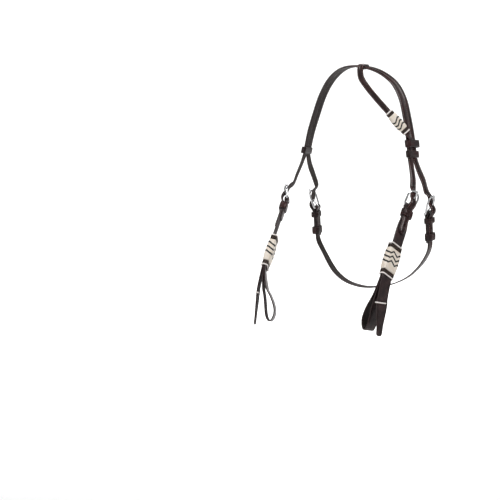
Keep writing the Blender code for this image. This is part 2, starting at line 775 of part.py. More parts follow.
def cheek_strap(side, name, group, helpers, paint):
    """The cheek strap: folded round its buckle's heel bar, straight, then hanging as a tapered tab."""
    sizes = cheek_sizes()
    cheek, hang = bit_end_places(side)
    flat = CHEEK_THICKNESS
    low = sizes.layer_low
    stations = chape_stations(cheek, sizes, CHEEK_RETURN_LENGTH, CHEEK_CHAPE_WIDTH)
    runs = (
        (CHEEK_KEEPER_NEAR + CHEEK_KEEPER_LENGTH, CHEEK_KEEPER_WIDTH),
        (CHEEK_RETURN_LENGTH, CHEEK_WIDTH),
        (CHEEK_STRAIGHT - CHEEK_KNOT_LENGTH, CHEEK_WIDTH),
        (CHEEK_STRAIGHT - CHEEK_BAND_LENGTH, CHEEK_WIDTH),
        (CHEEK_STRAIGHT - KNOT_END_ROOM, CHEEK_WIDTH),
        (CHEEK_STRAIGHT, CHEEK_WIDTH),
    )
    for down, width in runs:
        stations.append(Station(cheek.at(0, -down, low), cheek.out, width, flat, flat))
    tip = BIT_TAB_TIP_WIDTH * TIP_LENGTH_SHARE
    tapers = (
        (BIT_BEND_ROOM, (CHEEK_WIDTH + BIT_TAB_SHOULDER_WIDTH) / 2),
        (BIT_LACE_DROP, BIT_TAB_SHOULDER_WIDTH),
        ((2 * BIT_LACE_DROP + BIT_TAB_LENGTH) / 3, (2 * BIT_TAB_SHOULDER_WIDTH + BIT_TAB_TIP_WIDTH) / 3),
        ((BIT_LACE_DROP + 2 * BIT_TAB_LENGTH) / 3, (BIT_TAB_SHOULDER_WIDTH + 7 * BIT_TAB_TIP_WIDTH) / 8),
    )
    for down, width in tapers:
        stations.append(Station(hang.at(0, -down, low), hang.out, width, flat, flat))
    for along, share in reversed(TIP_SHARES):
        spot = hang.at(0, tip * along - BIT_TAB_LENGTH, low)
        stations.append(Station(spot, hang.out, BIT_TAB_TIP_WIDTH * share, flat, flat))
    body = strap(name, Route(stations), group, paint)
    chape_slot(body, name, cheek, sizes, helpers, paint)
    return body


def bit_loop(side, name, group, paint):
    """The inner ply: down behind the tab, round the bit's place and up again into the knot."""
    cheek, hang = bit_end_places(side)
    flat = BIT_PLY_THICKNESS
    width = BIT_PLY_WIDTH
    first = -GAP
    second = first - 2 * flat - GAP
    start = CHEEK_STRAIGHT - CHEEK_KNOT_LENGTH + CHEEK_BAND_LENGTH
    middle = CHEEK_STRAIGHT - CHEEK_BAND_LENGTH
    end = CHEEK_STRAIGHT - KNOT_END_ROOM
    stations = [
        Station(cheek.at(0, -start, first), cheek.out, width, flat, flat),
        Station(cheek.at(0, -middle, first), cheek.out, width, flat, flat),
        Station(cheek.at(0, -end, first), cheek.out, width, flat, flat),
        Station(cheek.at(0, -CHEEK_STRAIGHT, first), cheek.out, width, flat, flat),
    ]
    middles = [
        (-share * BIT_LOOP_DEPTH + first, -down * BIT_LOOP_LENGTH) for share, down in BIT_LOOP_SHARES
    ]
    for i, (out, up) in enumerate(middles):
        before = middles[max(i - 1, 0)]
        after = middles[min(i + 1, len(middles) - 1)]
        run = Vector((after[0] - before[0], after[1] - before[1])).normalized()
        normal = hang.turned(run.x, -run.y)
        stations.append(Station(hang.at(0, up, out), normal, width, flat, flat))
    for down in (CHEEK_STRAIGHT, end, middle, start):
        stations.append(Station(cheek.at(0, -down, second), -cheek.out, width, flat, flat))
    route = Route(stations)
    rings = []
    for step, values in enumerate(route.steps):
        section = flat_section(*values[6:9])
        rings.append([route.point(step, a, o - flat) for a, o in section])
    return loft(name, rings, group, paint)


def throat_strap(group, helpers, paint):
    """The throatlatch: folded round both throat buckles' heel bars, hanging in a loop between them."""
    sizes = throat_sizes()
    flat = THROAT_THICKNESS
    width = THROAT_WIDTH
    halves = []
    for side in (1, -1):
        place = throat_place(side)
        stations = chape_stations(place, sizes, THROAT_RETURN_LENGTH, width)
        for share in (0.4, 0.75, 0.95, 1.0):
            spot = place.at(0, -share * THROAT_STRAIGHT, sizes.layer_low)
            stations.append(Station(spot, place.out, width, flat, flat))
        end = place.at(0, -THROAT_STRAIGHT, sizes.layer_low)
        for out, back, down, normal_out, normal_down in THROAT_LOOP_SHARES:
            spot = (out * end.x, back * end.y, end.z - down * THROAT_LOOP_DROP)
            normal = (side * normal_out, 0, normal_down)
            stations.append(Station(spot, normal, width, flat, flat))
        halves.append(stations)
    left, right = halves
    body = strap("throat_strap", Route(left + right[:-1][::-1]), group, paint)
    for side, word in ((1, "left"), (-1, "right")):
        chape_slot(body, f"{word}_throat_strap", throat_place(side), sizes, helpers, paint)


def crown_place(side, above_fork):
    """A place on the crown above one fork, its up running to the top."""
    crown = crown_route()
    if side == 1:
        found = crown.place(above_fork)
        return Place(found.origin, -found.up, found.out)
    return crown.place(crown.lengths[-1] - above_fork)


def ear_spot(out, forward, down):
    return Vector((out * CROWN_HALF_WIDTH, -forward * CROWN_SET_BACK, -down * FORK_DROP))


def ear_wrap(place):
    """Where the ear strap goes round the crown, from its front over the top and back below."""
    half = (FRONT_STRAND_WIDTH + REAR_STRAND_WIDTH) / 2
    inset = half - EAR_FOLD_THICKNESS - GAP
    over = CROWN_CREST + GAP
    side = half + GAP
    middle = CROWN_EDGE / 2
    slope = EAR_FOLD_THICKNESS
    rear = place.across
    under = -GAP - GAP
    return (
        (place.at(-inset, 0, over), place.out), (place.at(0, 0, over + GAP), place.out),
        (place.at(inset, 0, over), place.out),
        (place.at(half - GAP, 0, over - slope / 2), place.out + rear),
        (place.at(side + GAP, 0, middle), rear),
        (place.at(half - GAP, 0, under), rear - place.out),
        (place.at(inset, 0, under), -place.out), (place.at(0, 0, under), -place.out),
        (place.at(slope - inset, 0, under), -place.out), (place.at(-inset, 0, under), -place.out),
    )


def ear_knot_place():
    start = ear_spot(*EAR_KNOT_START_SHARES)
    end = ear_spot(*EAR_KNOT_END_SHARES)
    return Place((start + end) / 2, start - end, EAR_KNOT_NORMAL_SHARES)


def ear_strap(group, paint):
    """The ear strap: wrapped round the crown over the top and again above the left fork."""
    thin = EAR_FOLD_THICKNESS
    half_way = crown_route().lengths[-1] / 2
    above = crown_place(1, half_way - EAR_UPPER_LOOP_OUT)
    below = crown_place(1, EAR_LOWER_LOOP_ABOVE)
    upper = ear_wrap(above)
    knot = ear_knot_place()
    edge = -(FRONT_STRAND_WIDTH + REAR_STRAND_WIDTH) / 2
    reach = (ear_spot(*EAR_KNOT_START_SHARES) - ear_spot(*EAR_KNOT_END_SHARES)).length / 2

    def folded(spot, normal):
        return Station(spot, normal, EAR_WIDTH, thin, thin)

    def raised(spot, normal):
        return Station(spot, normal, EAR_WIDTH, EAR_EDGE, EAR_CREST)

    free = [(ear_spot(*row[:3]), Vector(row[3:]).normalized()) for row in EAR_SHARES]
    under = [(spot - normal * 2 * GAP, -normal) for spot, normal in free]
    between = (under[0][0] * 2 + under[1][0]) / 3
    stations = [folded(between, under[0][1]), folded(*under[0])]
    stations.append(folded(above.at(edge - thin / 2, 0, -1.6 * thin), above.across - 2 * above.out))
    stations += [folded(*pair) for pair in reversed(upper)]
    stations.append(raised(above.at(edge - thin, 0, thin), above.out - above.across))
    stations += [raised(*pair) for pair in free]
    for share in (1.06, 0.85, 0.0, -0.85, -1.06):
        stations.append(raised(knot.at(0, share * reach, 0), knot.out))
    rest = CROWN_CREST + 2 * GAP
    for across_share, down_share in EAR_END_SHARES:
        spot = below.at(across_share * edge, -down_share * EAR_LOOP_LENGTH, rest)
        stations.append(folded(spot, below.out))
    return strap("ear_strap", Route(stations), group, paint, strap_section)


def loop_rings(outer_rows, inner):
    """Outer outlines down the strap, then the inner outline back up, for a sleeve."""
    rows = list(outer_rows)
    rows.append((rows[-1][0], inner))
    rows.append((rows[0][0], inner))
    return rows


def knot(name, place, length, band, half_width, low, high, group, hide_paint, dark_paint, lace_paint):
    """A braided rawhide knot: a swelling sleeve between two dark bands, with a thin ring at each end."""
    reach = length / 2 - 2 * RING_RADIUS - GAP - band - GAP
    swells = ((1.0, 0.15), (0.85, 0.55), (0.5, 1.0), (-0.5, 1.0), (-0.85, 0.55), (-1.0, 0.15))
    rows = []
    for share, swell in swells:
        wall = KNOT_WALL + swell * KNOT_BULGE
        outline = rounded_outline(
            half_width + wall, low - wall, high + wall, KEEPER_CORNER + wall
        )
        rows.append((share * reach, outline))
    inner = rounded_outline(half_width, low, high, KEEPER_CORNER / 2)
    rings = [
        [place.at(x, up, y) for x, y in outline] for up, outline in loop_rings(rows, inner)
    ]
    loft(f"{name}_braid", rings, group, hide_paint, closed=True)
    for word, way in (("upper", 1), ("lower", -1)):
        middle = way * (reach + GAP + band / 2)
        outer = rounded_outline(
            half_width + BAND_WALL, low - BAND_WALL, high + BAND_WALL, KEEPER_CORNER + BAND_WALL
        )
        rings = [
            [place.at(x, middle + end * band / 2, y) for x, y in outline]
            for end, outline in ((1, outer), (-1, outer), (-1, inner), (1, inner))
        ]
        loft(f"{name}_{word}_band", rings, group, dark_paint, closed=True)
        wrap = RING_RADIUS + GAP
        path = rounded_outline(
            half_width + wrap, low - wrap, high + wrap, KEEPER_CORNER + wrap, per_corner=3
        )
        ring_up = way * (length / 2 - RING_RADIUS)
        ring = wire(
            f"{name}_{word}_ring", [(x, y, 0) for x, y in path], RING_RADIUS, group, lace_paint
        )
        ring.matrix_world = place.end_on(up=ring_up)


def cheek_knot(side, name, group, paints):
    cheek = cheek_place(side)
    middle = CHEEK_STRAIGHT - KNOT_END_ROOM - CHEEK_KNOT_LENGTH / 2
    place = Place(cheek.at(0, -middle, 0), cheek.up, cheek.out)
    sizes = cheek_sizes()
    half_width = CHEEK_WIDTH / 2 + GAP
    low = -3 * GAP - 2 * BIT_PLY_THICKNESS
    high = sizes.layer_high + GAP
    knot(name, place, CHEEK_KNOT_LENGTH, CHEEK_BAND_LENGTH, half_width, low, high, group, *paints)


def ear_knot(group, paints):
    place = ear_knot_place()
    half_width = EAR_WIDTH / 2 + GAP
    low = -GAP
    high = EAR_CREST + GAP
    knot("ear_knot", place, EAR_KNOT_LENGTH, EAR_BAND_LENGTH, half_width, low, high, group, *paints)


def bit_lace(side, name, tab, group, helpers, paint):
    """The lace through the tab's hole and round its front edge."""
    hang = bit_end_places(side)[1]
    front = -side
    hole = -front * BIT_TAB_SHOULDER_WIDTH * LACE_HOLE_SHARE
    edge = front * (BIT_TAB_SHOULDER_WIDTH / 2 + GAP + LACE_RADIUS)
    sizes = cheek_sizes()
    low = sizes.layer_low - GAP - LACE_RADIUS
    high = sizes.layer_high + GAP + LACE_RADIUS
    outline = rounded_outline(abs(hole - edge) / 2, low, high, 2 * LACE_RADIUS)
    points = [(x + (hole + edge) / 2, y, 0) for x, y in outline]
    lace = wire(name, points, LACE_RADIUS, group, paint)
    lace.matrix_world = hang.end_on(up=-BIT_LACE_DROP)
    turn = Matrix.Rotation(math.radians(90), 4, "X")
    matrix = lace.matrix_world @ Matrix.Translation((hole, 0, 0)) @ turn
    depth = 2 * (high - low)
    cut(tab, round_cutter(f"{name}_cutter", LACE_RADIUS + 2 * GAP, depth, matrix, helpers, paint))


def main():
    clear_scene()
    group = new_collection("one_ear_headstall")
    helpers = new_collection("cutters", helper=True)
    leather = material("dark_brown_leather", BLACK_BROWN, 0.45)
    smooth_leather = material("charcoal_leather", CHARCOAL, 0.5)
    steel = material("polished_steel", STEEL, 0.2, 1.0)
    rawhide = material("cream_rawhide", CREAM, 0.55)
    dark_rawhide = material("dark_rawhide", DARK_BAND, 0.6)
    lace_hide = material("lace_hide", LACE_CREAM, 0.6)
    knot_paints = (rawhide, dark_rawhide, lace_hide)

    crown = crown_piece(group, leather)
    crown_half = (FRONT_STRAND_WIDTH + REAR_STRAND_WIDTH) / 2
    for side, word in ((1, "left"), (-1, "right")):
        place, sizes = cheek_place(side), cheek_sizes()
        billet_cuts(crown, f"{word}_cheek_billet", place, sizes, CHEEK_HOLE_BELOW, helpers, leather)
        buckle(f"{word}_cheek_buckle", place, sizes, group, steel)
        low = -sizes.layer_high - GAP
        high = sizes.billet_low + BILLET_CREST + KEEPER_HEAD_ROOM
        keeper(
            f"{word}_cheek_keeper", place, CHEEK_KEEPER_NEAR, CHEEK_KEEPER_LENGTH,
            CHEEK_KEEPER_WIDTH / 2 + GAP, low, high, group, leather,
        )
        tab = cheek_strap(side, f"{word}_cheek_strap", group, helpers, smooth_leather)
        bit_loop(side, f"{word}_bit_loop", group, smooth_leather)
        cheek_knot(side, f"{word}_cheek_knot", group, knot_paints)
        bit_lace(side, f"{word}_bit_lace", tab, group, helpers, lace_hide)

        place, sizes = throat_place(side), throat_sizes()
        billet_cuts(crown, f"{word}_throat_billet", place, sizes, THROAT_HOLE_BELOW, helpers, leather)
        buckle(f"{word}_throat_buckle", place, sizes, group, steel)
        low = -sizes.layer_high - MOVING_GAP
        high = sizes.billet_low + BILLET_CREST + KEEPER_HEAD_ROOM
        half = THROAT_WIDTH / 2 + MOVING_GAP
        keeper(
            f"{word}_throat_keeper", place, THROAT_KEEPER_NEAR, THROAT_KEEPER_LENGTH,
            half, low, high, group, leather,
        )
        keeper(
            f"{word}_throat_slider", place, SLIDER_NEAR, SLIDER_LENGTH, half, low, high,
            group, leather,
        )
        keeper(
            f"{word}_split_keeper", crown_place(side, SPLIT_KEEPER_LENGTH + GAP), 0,
            SPLIT_KEEPER_LENGTH, crown_half + GAP, -GAP, CROWN_CREST + GAP, group, leather,
        )
    keeper(
        "ear_lower_loop", crown_place(1, EAR_LOWER_LOOP_ABOVE + EAR_LOOP_LENGTH / 2), 0,
        EAR_LOOP_LENGTH, crown_half + 3 * GAP, -2 * GAP, CROWN_CREST + EAR_FOLD_THICKNESS + 5 * GAP,
        group, leather,
    )
    throat_strap(group, helpers, leather)
    ear_strap(group, leather)
    ear_knot(group, knot_paints)


main()
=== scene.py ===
"""One ear headstall: fine leather, stitching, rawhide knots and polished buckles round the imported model.

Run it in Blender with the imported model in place. The wearer faces -Y, its left side is at +X, and lengths
are in metres.
"""

import json
import math

import bmesh
import bpy
import numpy as np
from mathutils import Matrix, Vector


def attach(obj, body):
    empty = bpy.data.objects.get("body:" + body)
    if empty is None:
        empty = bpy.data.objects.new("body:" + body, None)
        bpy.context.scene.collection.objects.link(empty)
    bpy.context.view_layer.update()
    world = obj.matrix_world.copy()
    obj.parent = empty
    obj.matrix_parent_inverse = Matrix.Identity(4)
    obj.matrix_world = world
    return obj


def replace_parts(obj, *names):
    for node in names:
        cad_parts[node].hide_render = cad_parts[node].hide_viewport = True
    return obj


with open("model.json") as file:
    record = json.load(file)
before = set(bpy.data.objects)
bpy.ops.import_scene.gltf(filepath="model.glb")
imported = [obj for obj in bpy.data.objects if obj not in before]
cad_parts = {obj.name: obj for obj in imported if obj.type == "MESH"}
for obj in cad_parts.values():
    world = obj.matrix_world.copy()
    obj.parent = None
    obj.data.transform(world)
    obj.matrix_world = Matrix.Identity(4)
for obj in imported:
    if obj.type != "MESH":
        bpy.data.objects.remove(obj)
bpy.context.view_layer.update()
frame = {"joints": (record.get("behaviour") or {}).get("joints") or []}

bl_info = {
    "name": "One Ear Headstall",
    "version": (1, 0, 0),
    "blender": (4, 5, 0),
    "location": "View3D > Sidebar > Headstall",
    "description": "Leather straps, rawhide knots and buckles for a one ear headstall",
    "category": "Add Mesh",
}

MM = 0.001
GAP = 0.3 * MM
SIDES = ((1, "left"), (-1, "right"))
ROOT = "headstall"

# The crown's sizes and route, as the solids have them
CROWN_HALF_WIDTH = 0.098
CROWN_SET_BACK = 0.020
FORK_DROP = 0.148
FRONT_STRAND_WIDTH = 0.016
REAR_STRAND_WIDTH = 0.014
CROWN_EDGE = 0.0018
CROWN_CREST = 0.0036
CROWN_SHARES = (
    (0.035, 0.00, 0.000, 0.00, 0.00, 1.00),
    (0.190, 0.12, 0.014, 0.17, 0.00, 0.98),
    (0.380, 0.50, 0.060, 0.40, 0.00, 0.92),
    (0.600, 0.92, 0.175, 0.66, 0.00, 0.75),
    (0.748, 0.98, 0.335, 0.85, 0.00, 0.50),
    (0.850, 0.84, 0.540, 0.95, 0.02, 0.28),
    (0.930, 0.64, 0.740, 0.98, 0.05, 0.18),
    (0.975, 0.52, 0.900, 0.99, 0.08, 0.14),
    (1.000, 0.445, 1.000, 0.99, 0.09, 0.12),
)

# Billets, buckles and the straps folded round them
BILLET_WIDTH = 0.0145
BILLET_EDGE = 0.0018
BILLET_CREST = 0.0032
BILLET_WAY_SHARES = (0.33, 0.66)
BILLET_EASE_SHARE = 0.55
TIP_SHARES = ((0.00, 0.36), (0.14, 0.68), (0.40, 0.92), (1.00, 1.00))
TIP_LENGTH_SHARE = 0.55
CHEEK_WIDTH = 0.0225
CHEEK_KEEPER_WIDTH = 0.0158
CHEEK_CHAPE_WIDTH = 0.0153
CHEEK_THICKNESS = 0.0022
THROAT_WIDTH = 0.016
THROAT_THICKNESS = 0.0022
CHEEK_KEEPER_NEAR = 0.008
CHEEK_KEEPER_LENGTH = 0.013
CHEEK_BILLET_BELOW = 0.053
CHEEK_RETURN_LENGTH = 0.038
CHEEK_STRAIGHT = 0.135
CHEEK_BILLET_RUN = 0.034
CHEEK_HOLE_BELOW = 0.036
THROAT_KEEPER_NEAR = 0.0075
THROAT_KEEPER_LENGTH = 0.009
THROAT_BILLET_BELOW = 0.046
THROAT_RETURN_LENGTH = 0.050
THROAT_STRAIGHT = 0.053
THROAT_STRAIGHT_SHARES = (0.4, 0.75, 0.95, 1.0)
THROAT_BILLET_RUN = 0.036
THROAT_HOLE_BELOW = 0.025
THROAT_LOOP_DROP = 0.076
SLIDER_NEAR = 0.034
SLIDER_LENGTH = 0.012
THROAT_LOOP_SHARES = (
    (0.985, 1.02, 0.10, 0.95, -0.30),
    (0.940, 1.05, 0.24, 0.86, -0.50),
    (0.870, 1.05, 0.40, 0.76, -0.65),
    (0.785, 1.01, 0.56, 0.62, -0.78),
    (0.645, 0.92, 0.75, 0.44, -0.90),
    (0.420, 0.78, 0.91, 0.26, -0.97),
    (0.180, 0.66, 0.98, 0.10, -0.99),
    (0.000, 0.63, 1.00, 0.00, -1.00),
)
BUCKLE_TILT = math.radians(17)
BUCKLE_SIDE_ROOM = 0.6 * MM
CHAPE_SLOT_ROOM = 2 * MM
TONGUE_RADIUS = 0.0012
TONGUE_RISE = math.radians(40)
TONGUE_RING_TURN = 262
TONGUE_RING_STEPS = 32
TONGUE_OVERHANG = 0.003
TONGUE_LIFT_ROOM = 0.0038
TONGUE_SIDE_ROOM = 0.0004
TONGUE_SLOT_WIDTH = 2 * TONGUE_RADIUS + 2 * TONGUE_SIDE_ROOM
MOVING_GAP = 0.0004
HOLE_RADIUS = 0.0016

# Keepers
KEEPER_WALL = 0.0018
KEEPER_CORNER = 0.0022
KEEPER_HEAD_ROOM = 0.0006
KEEPER_RIM = 0.45 * MM
KEEPER_LINE = 1.5 * MM
KEEPER_LINE_REACH = 0.25 * MM
KEEPER_LINE_DEPTH = 0.22 * MM
KEEPER_SWELLS = (0.12 * MM, 0.16 * MM)
SPLIT_KEEPER_LENGTH = 0.011

# The bit end
BIT_BEND_ROOM = 0.018
BIT_TAB_LENGTH = 0.077
BIT_TAB_SHOULDER_WIDTH = 0.025
BIT_TAB_TIP_WIDTH = 0.0135
BIT_HANG_LEAN = math.radians(12)
BIT_PLY_WIDTH = 0.0215
BIT_PLY_THICKNESS = 0.0021
BIT_LOOP_DEPTH = 0.030
BIT_LOOP_LENGTH = 0.069
BIT_LACE_DROP = 0.024
LACE_RADIUS = 0.0009
LACE_HOLE_SHARE = 0.27
BIT_LOOP_SHARES = (
    (0.21, 0.26), (0.29, 0.38), (0.37, 0.55), (0.44, 0.72), (0.51, 0.86), (0.60, 0.95), (0.70, 1.00),
    (0.84, 1.00), (0.94, 0.95), (1.01, 0.86), (1.03, 0.74), (0.90, 0.55), (0.70, 0.38), (0.47, 0.22),
)

# Rawhide knots
KNOT_WALL = 0.0014
KNOT_BULGE = 0.0014
BAND_WALL = 0.0013
RING_RADIUS = 0.0009
CHEEK_KNOT_LENGTH = 0.058
KNOT_END_ROOM = 0.003
# Soft hide cords are drawn a little thicker than the solids' cords, inside the gap left round them
CORD_EXTRA = 0.2 * MM
CHEEK_BAND_LENGTH = 0.007
EAR_KNOT_LENGTH = 0.045
EAR_BAND_LENGTH = 0.005
# How each kind is braided: zigzags round it, the rising leg's share of each, strands from one dark one to
# the next, half a dark one's width in strands, and how far the middle dark one lies above the knot's middle
CHEEK_BRAIDING = (4, 0.62, 4, 0.78, 3 * MM)
EAR_BRAIDING = (2, 0.40, 3, 0.64, -2 * MM)
DARK_BLUR = 0.04
DARK_END_BLUR = 0.1 * MM
# How far the strands stand out: they rise from a little inside the wall, and a braid's flatten at its ends
BRAID_SINK = 0.30 * MM
BRAID_RELIEF = 0.45 * MM
BRAID_END = 0.5 * MM
BAND_SINK = 0.15 * MM
BAND_RELIEF = 0.35 * MM

# The ear strap
EAR_WIDTH = 0.0100
EAR_EDGE = 0.0018
EAR_CREST = 0.0034
EAR_FOLD_THICKNESS = 0.0016
EAR_UPPER_LOOP_OUT = 0.0115
EAR_LOWER_LOOP_ABOVE = 0.023
EAR_LOOP_LENGTH = 0.012
EAR_SEAM_MARGIN = 4 * MM
EAR_SHARES = (
    (0.205, 1.22, 0.110, 0.12, -0.85, 0.50),
    (0.315, 1.20, 0.215, 0.30, -0.86, 0.42),
    (0.495, 1.19, 0.345, 0.48, -0.82, 0.30),
)
EAR_KNOT_START_SHARES = (0.700, 1.05, 0.488)
EAR_KNOT_END_SHARES = (0.970, 0.37, 0.714)
EAR_KNOT_NORMAL_SHARES = (0.615, -0.77, 0.18)
EAR_KNOT_WAY_SHARES = (1.06, 0.85, 0.0, -0.85, -1.06)
EAR_END_SHARES = ((0.44, -0.74), (0.42, -0.48), (0.41, 0.0), (0.40, 0.42))

# Fine sections of a strap, from the underside's edge to the middle: across as a share of half the width,
# height as shares of the edge's thickness and of the rise to the crest, and the leather zone that follows
FLESH, EDGE, GRAIN = 0, 1, 2
RAISED_SHARES = (
    (0.44, 0.00, 0.00, FLESH), (0.86, 0.00, 0.00, EDGE), (0.93, 0.08, 0.00, EDGE),
    (0.98, 0.30, 0.00, EDGE), (1.00, 0.52, 0.00, EDGE), (0.985, 0.78, 0.00, EDGE),
    (0.94, 0.96, 0.00, GRAIN), (0.87, 1.02, 0.00, GRAIN), (0.80, 1.02, 0.03, GRAIN),
    (0.765, 0.96, 0.00, GRAIN), (0.73, 0.90, 0.00, GRAIN), (0.695, 0.96, 0.06, GRAIN),
    (0.64, 1.00, 0.25, GRAIN), (0.56, 1.00, 0.50, GRAIN), (0.46, 1.00, 0.76, GRAIN),
    (0.34, 1.00, 0.94, GRAIN), (0.18, 1.00, 1.01, GRAIN), (0.00, 1.00, 1.03, GRAIN),
)
FLAT_SHARES = (
    (0.44, 0.00, 0.00, FLESH), (0.87, 0.00, 0.00, EDGE), (0.94, 0.12, 0.00, EDGE),
    (0.985, 0.30, 0.00, EDGE), (1.00, 0.50, 0.00, EDGE), (0.985, 0.70, 0.00, EDGE),
    (0.95, 0.88, 0.00, GRAIN), (0.90, 0.98, 0.00, GRAIN), (0.865, 0.98, 0.00, GRAIN),
    (0.84, 0.91, 0.00, GRAIN), (0.815, 0.98, 0.00, GRAIN), (0.77, 1.00, 0.00, GRAIN),
    (0.50, 1.00, 0.00, GRAIN), (0.25, 1.01, 0.00, GRAIN), (0.00, 1.01, 0.00, GRAIN),
)

# Sewing: the rows' place across, how high they sit in the edge's thickness, how wide a stitch spreads, and
# its shape, as shares of its length, then lift and thickness as shares of the thread's
STITCH_ROW_SHARE = 0.73
STITCH_SEAT_SHARE = 0.93
STITCH_SPREAD = 1.15
STITCH_SHARES = (
    (-0.42, -0.9, 0.35), (-0.34, -0.1, 0.9), (0.0, 0.45, 1.0), (0.34, -0.1, 0.9), (0.42, -0.9, 0.35),
)

# How finely things are drawn
ROUTE_SPACING = 0.012
FINE_SPACING = 0.0025
LEAST_STEP = 0.012 * MM
FRAME_SPACING = 0.6 * MM
TONGUE_SPACING = 0.5 * MM
CORD_SPACING = 0.8 * MM
KEEPER_SPACING = 0.9 * MM
KNOT_SPACING = 0.45 * MM
BRAID_SPACING = 0.3 * MM
BAND_SPACING = 0.4 * MM
CUTTER_SIDES = 20
FRAME_SIDES = 20
TONGUE_SIDES = 16
CORD_SIDES = 14
STITCH_SIDES = 6
FLOOR_SIDES = 96
CAP_STEPS = 3
CAP_LEAST_SHARE = 0.08
SHARP_TURN = math.radians(50)
SLIVER = 0.01 * MM

# The stage: the floor's rings as radius and height, and the spot that all but the backdrop's light shine at
FLOOR_BOWL = (
    (0.6, 0.0), (2.0, 0.0), (4.0, 0.0), (5.0, 0.1), (5.8, 0.45), (6.3, 1.1), (6.5, 2.0), (6.5, 4.5),
)
FLOOR_COLOUR = (0.94, 0.94, 0.94)
LIGHT_AIM = (0.05, 0, -0.2)
SENSOR_WIDTH = 36
FAR_CLIP = 50


class LeatherSettings(bpy.types.PropertyGroup):
    """Colours and finish of the leather."""

    strap_colour: bpy.props.FloatVectorProperty(
        name="Strap colour", description="Main colour of the brown straps", subtype="COLOR", size=3,
        default=(0.0125, 0.0038, 0.0038),
    )
    warm_colour: bpy.props.FloatVectorProperty(
        name="Warm colour", description="Where the dye shows redder", subtype="COLOR", size=3,
        default=(0.044, 0.0115, 0.0105),
    )
    edge_colour: bpy.props.FloatVectorProperty(
        name="Edge colour", description="Burnished edges", subtype="COLOR", size=3,
        default=(0.014, 0.0045, 0.0042),
    )
    cheek_colour: bpy.props.FloatVectorProperty(
        name="Cheek colour", description="Main colour of the cheek straps and bit ends", subtype="COLOR",
        size=3, default=(0.0185, 0.0110, 0.0114),
    )
    cheek_warm_colour: bpy.props.FloatVectorProperty(
        name="Cheek warm colour", description="Lighter cloudy patches of the cheek straps", subtype="COLOR",
        size=3, default=(0.056, 0.0290, 0.0285),
    )
    flesh_colour: bpy.props.FloatVectorProperty(
        name="Flesh side colour", description="The rough underside", subtype="COLOR", size=3,
        default=(0.024, 0.0150, 0.0130),
    )
    stitch_length: bpy.props.FloatProperty(
        name="Stitch length", description="From one stitch to the next", unit="LENGTH", default=3.3 * MM,
        min=1 * MM, max=10 * MM,
    )
    thread_radius: bpy.props.FloatProperty(
        name="Thread radius", description="Half the sewing thread's thickness", unit="LENGTH",
        default=0.36 * MM, min=0.1 * MM, max=1 * MM,
    )
    thread_colour: bpy.props.FloatVectorProperty(
        name="Thread colour", description="Waxed sewing thread", subtype="COLOR", size=3,
        default=(0.26, 0.150, 0.135),
    )


class KnotSettings(bpy.types.PropertyGroup):
    """Colours and weave of the rawhide knots."""

    cream_colour: bpy.props.FloatVectorProperty(
        name="Cream colour", description="Cleaned rawhide strands", subtype="COLOR", size=3,
        default=(0.87, 0.795, 0.71),
    )
    dark_colour: bpy.props.FloatVectorProperty(
        name="Dark colour", description="Dyed strands", subtype="COLOR", size=3,
        default=(0.006, 0.005, 0.004),
    )
    band_colour: bpy.props.FloatVectorProperty(
        name="Band colour", description="Brown strands of the end bands", subtype="COLOR", size=3,
        default=(0.046, 0.022, 0.014),
    )
    lace_colour: bpy.props.FloatVectorProperty(
        name="Lace colour", description="End rings and bit laces", subtype="COLOR", size=3,
        default=(0.94, 0.88, 0.85),
    )
    strand_width: bpy.props.FloatProperty(
        name="Strand width", description="Width of one rawhide strand", unit="LENGTH", default=2.1 * MM,
        min=1 * MM, max=5 * MM,
    )
    chevron_depth: bpy.props.FloatProperty(
        name="Chevron depth", description="How far each zigzag swings along the knot", unit="LENGTH",
        default=5.2 * MM, min=0, max=10 * MM,
    )
    band_cell: bpy.props.FloatProperty(
        name="Band cell", description="From one crossing to the next round an end band", unit="LENGTH",
        default=3.4 * MM, min=1 * MM, max=10 * MM,
    )
    dark_strands: bpy.props.IntProperty(
        name="Dark strands", description="Zigzag strands in the middle of each knot", default=3, min=0,
        max=7,
    )


class MetalSettings(bpy.types.PropertyGroup):
    """Finish of the buckles."""

    colour: bpy.props.FloatVectorProperty(
        name="Colour", description="Polished metal", subtype="COLOR", size=3, default=(0.72, 0.72, 0.73),
    )
    roughness: bpy.props.FloatProperty(
        name="Roughness", description="How soft the reflections are", subtype="FACTOR", default=0.14,
        min=0, max=1,
    )


class StageSettings(bpy.types.PropertyGroup):
    """The plain stage, its light and the camera."""

    azimuth: bpy.props.FloatProperty(
        name="Azimuth", description="Camera's turn from the front towards the wearer's left",
        subtype="ANGLE", default=math.radians(30),
    )
    elevation: bpy.props.FloatProperty(
        name="Elevation", description="Camera's height above level", subtype="ANGLE",
        default=math.radians(7),
    )
    distance: bpy.props.FloatProperty(
        name="Distance", description="From the camera to the object", unit="LENGTH", default=3.0, min=0.5,
    )
    lens: bpy.props.FloatProperty(
        name="Lens", description="Focal length in millimetres", default=130, min=20, max=300,
    )
    aside: bpy.props.FloatProperty(
        name="Aside", description="How far the object stands right of the view's middle", unit="LENGTH",
        default=0.1776,
    )
    above: bpy.props.FloatProperty(
        name="Above", description="How far its origin stands above the view's middle", unit="LENGTH",
        default=0.3038,
    )
    floor_drop: bpy.props.FloatProperty(
        name="Floor drop", description="From the crown down to the floor", unit="LENGTH", default=0.9,
    )
    key_power: bpy.props.FloatProperty(
        name="Key light", description="Power of the large soft light", unit="POWER", default=27,
    )
    backdrop_power: bpy.props.FloatProperty(
        name="Backdrop light", description="Power of the light on the wall behind", unit="POWER",
        default=125,
    )
    world_strength: bpy.props.FloatProperty(
        name="Room light", description="Strength of the even light all round", default=0.22, min=0,
    )


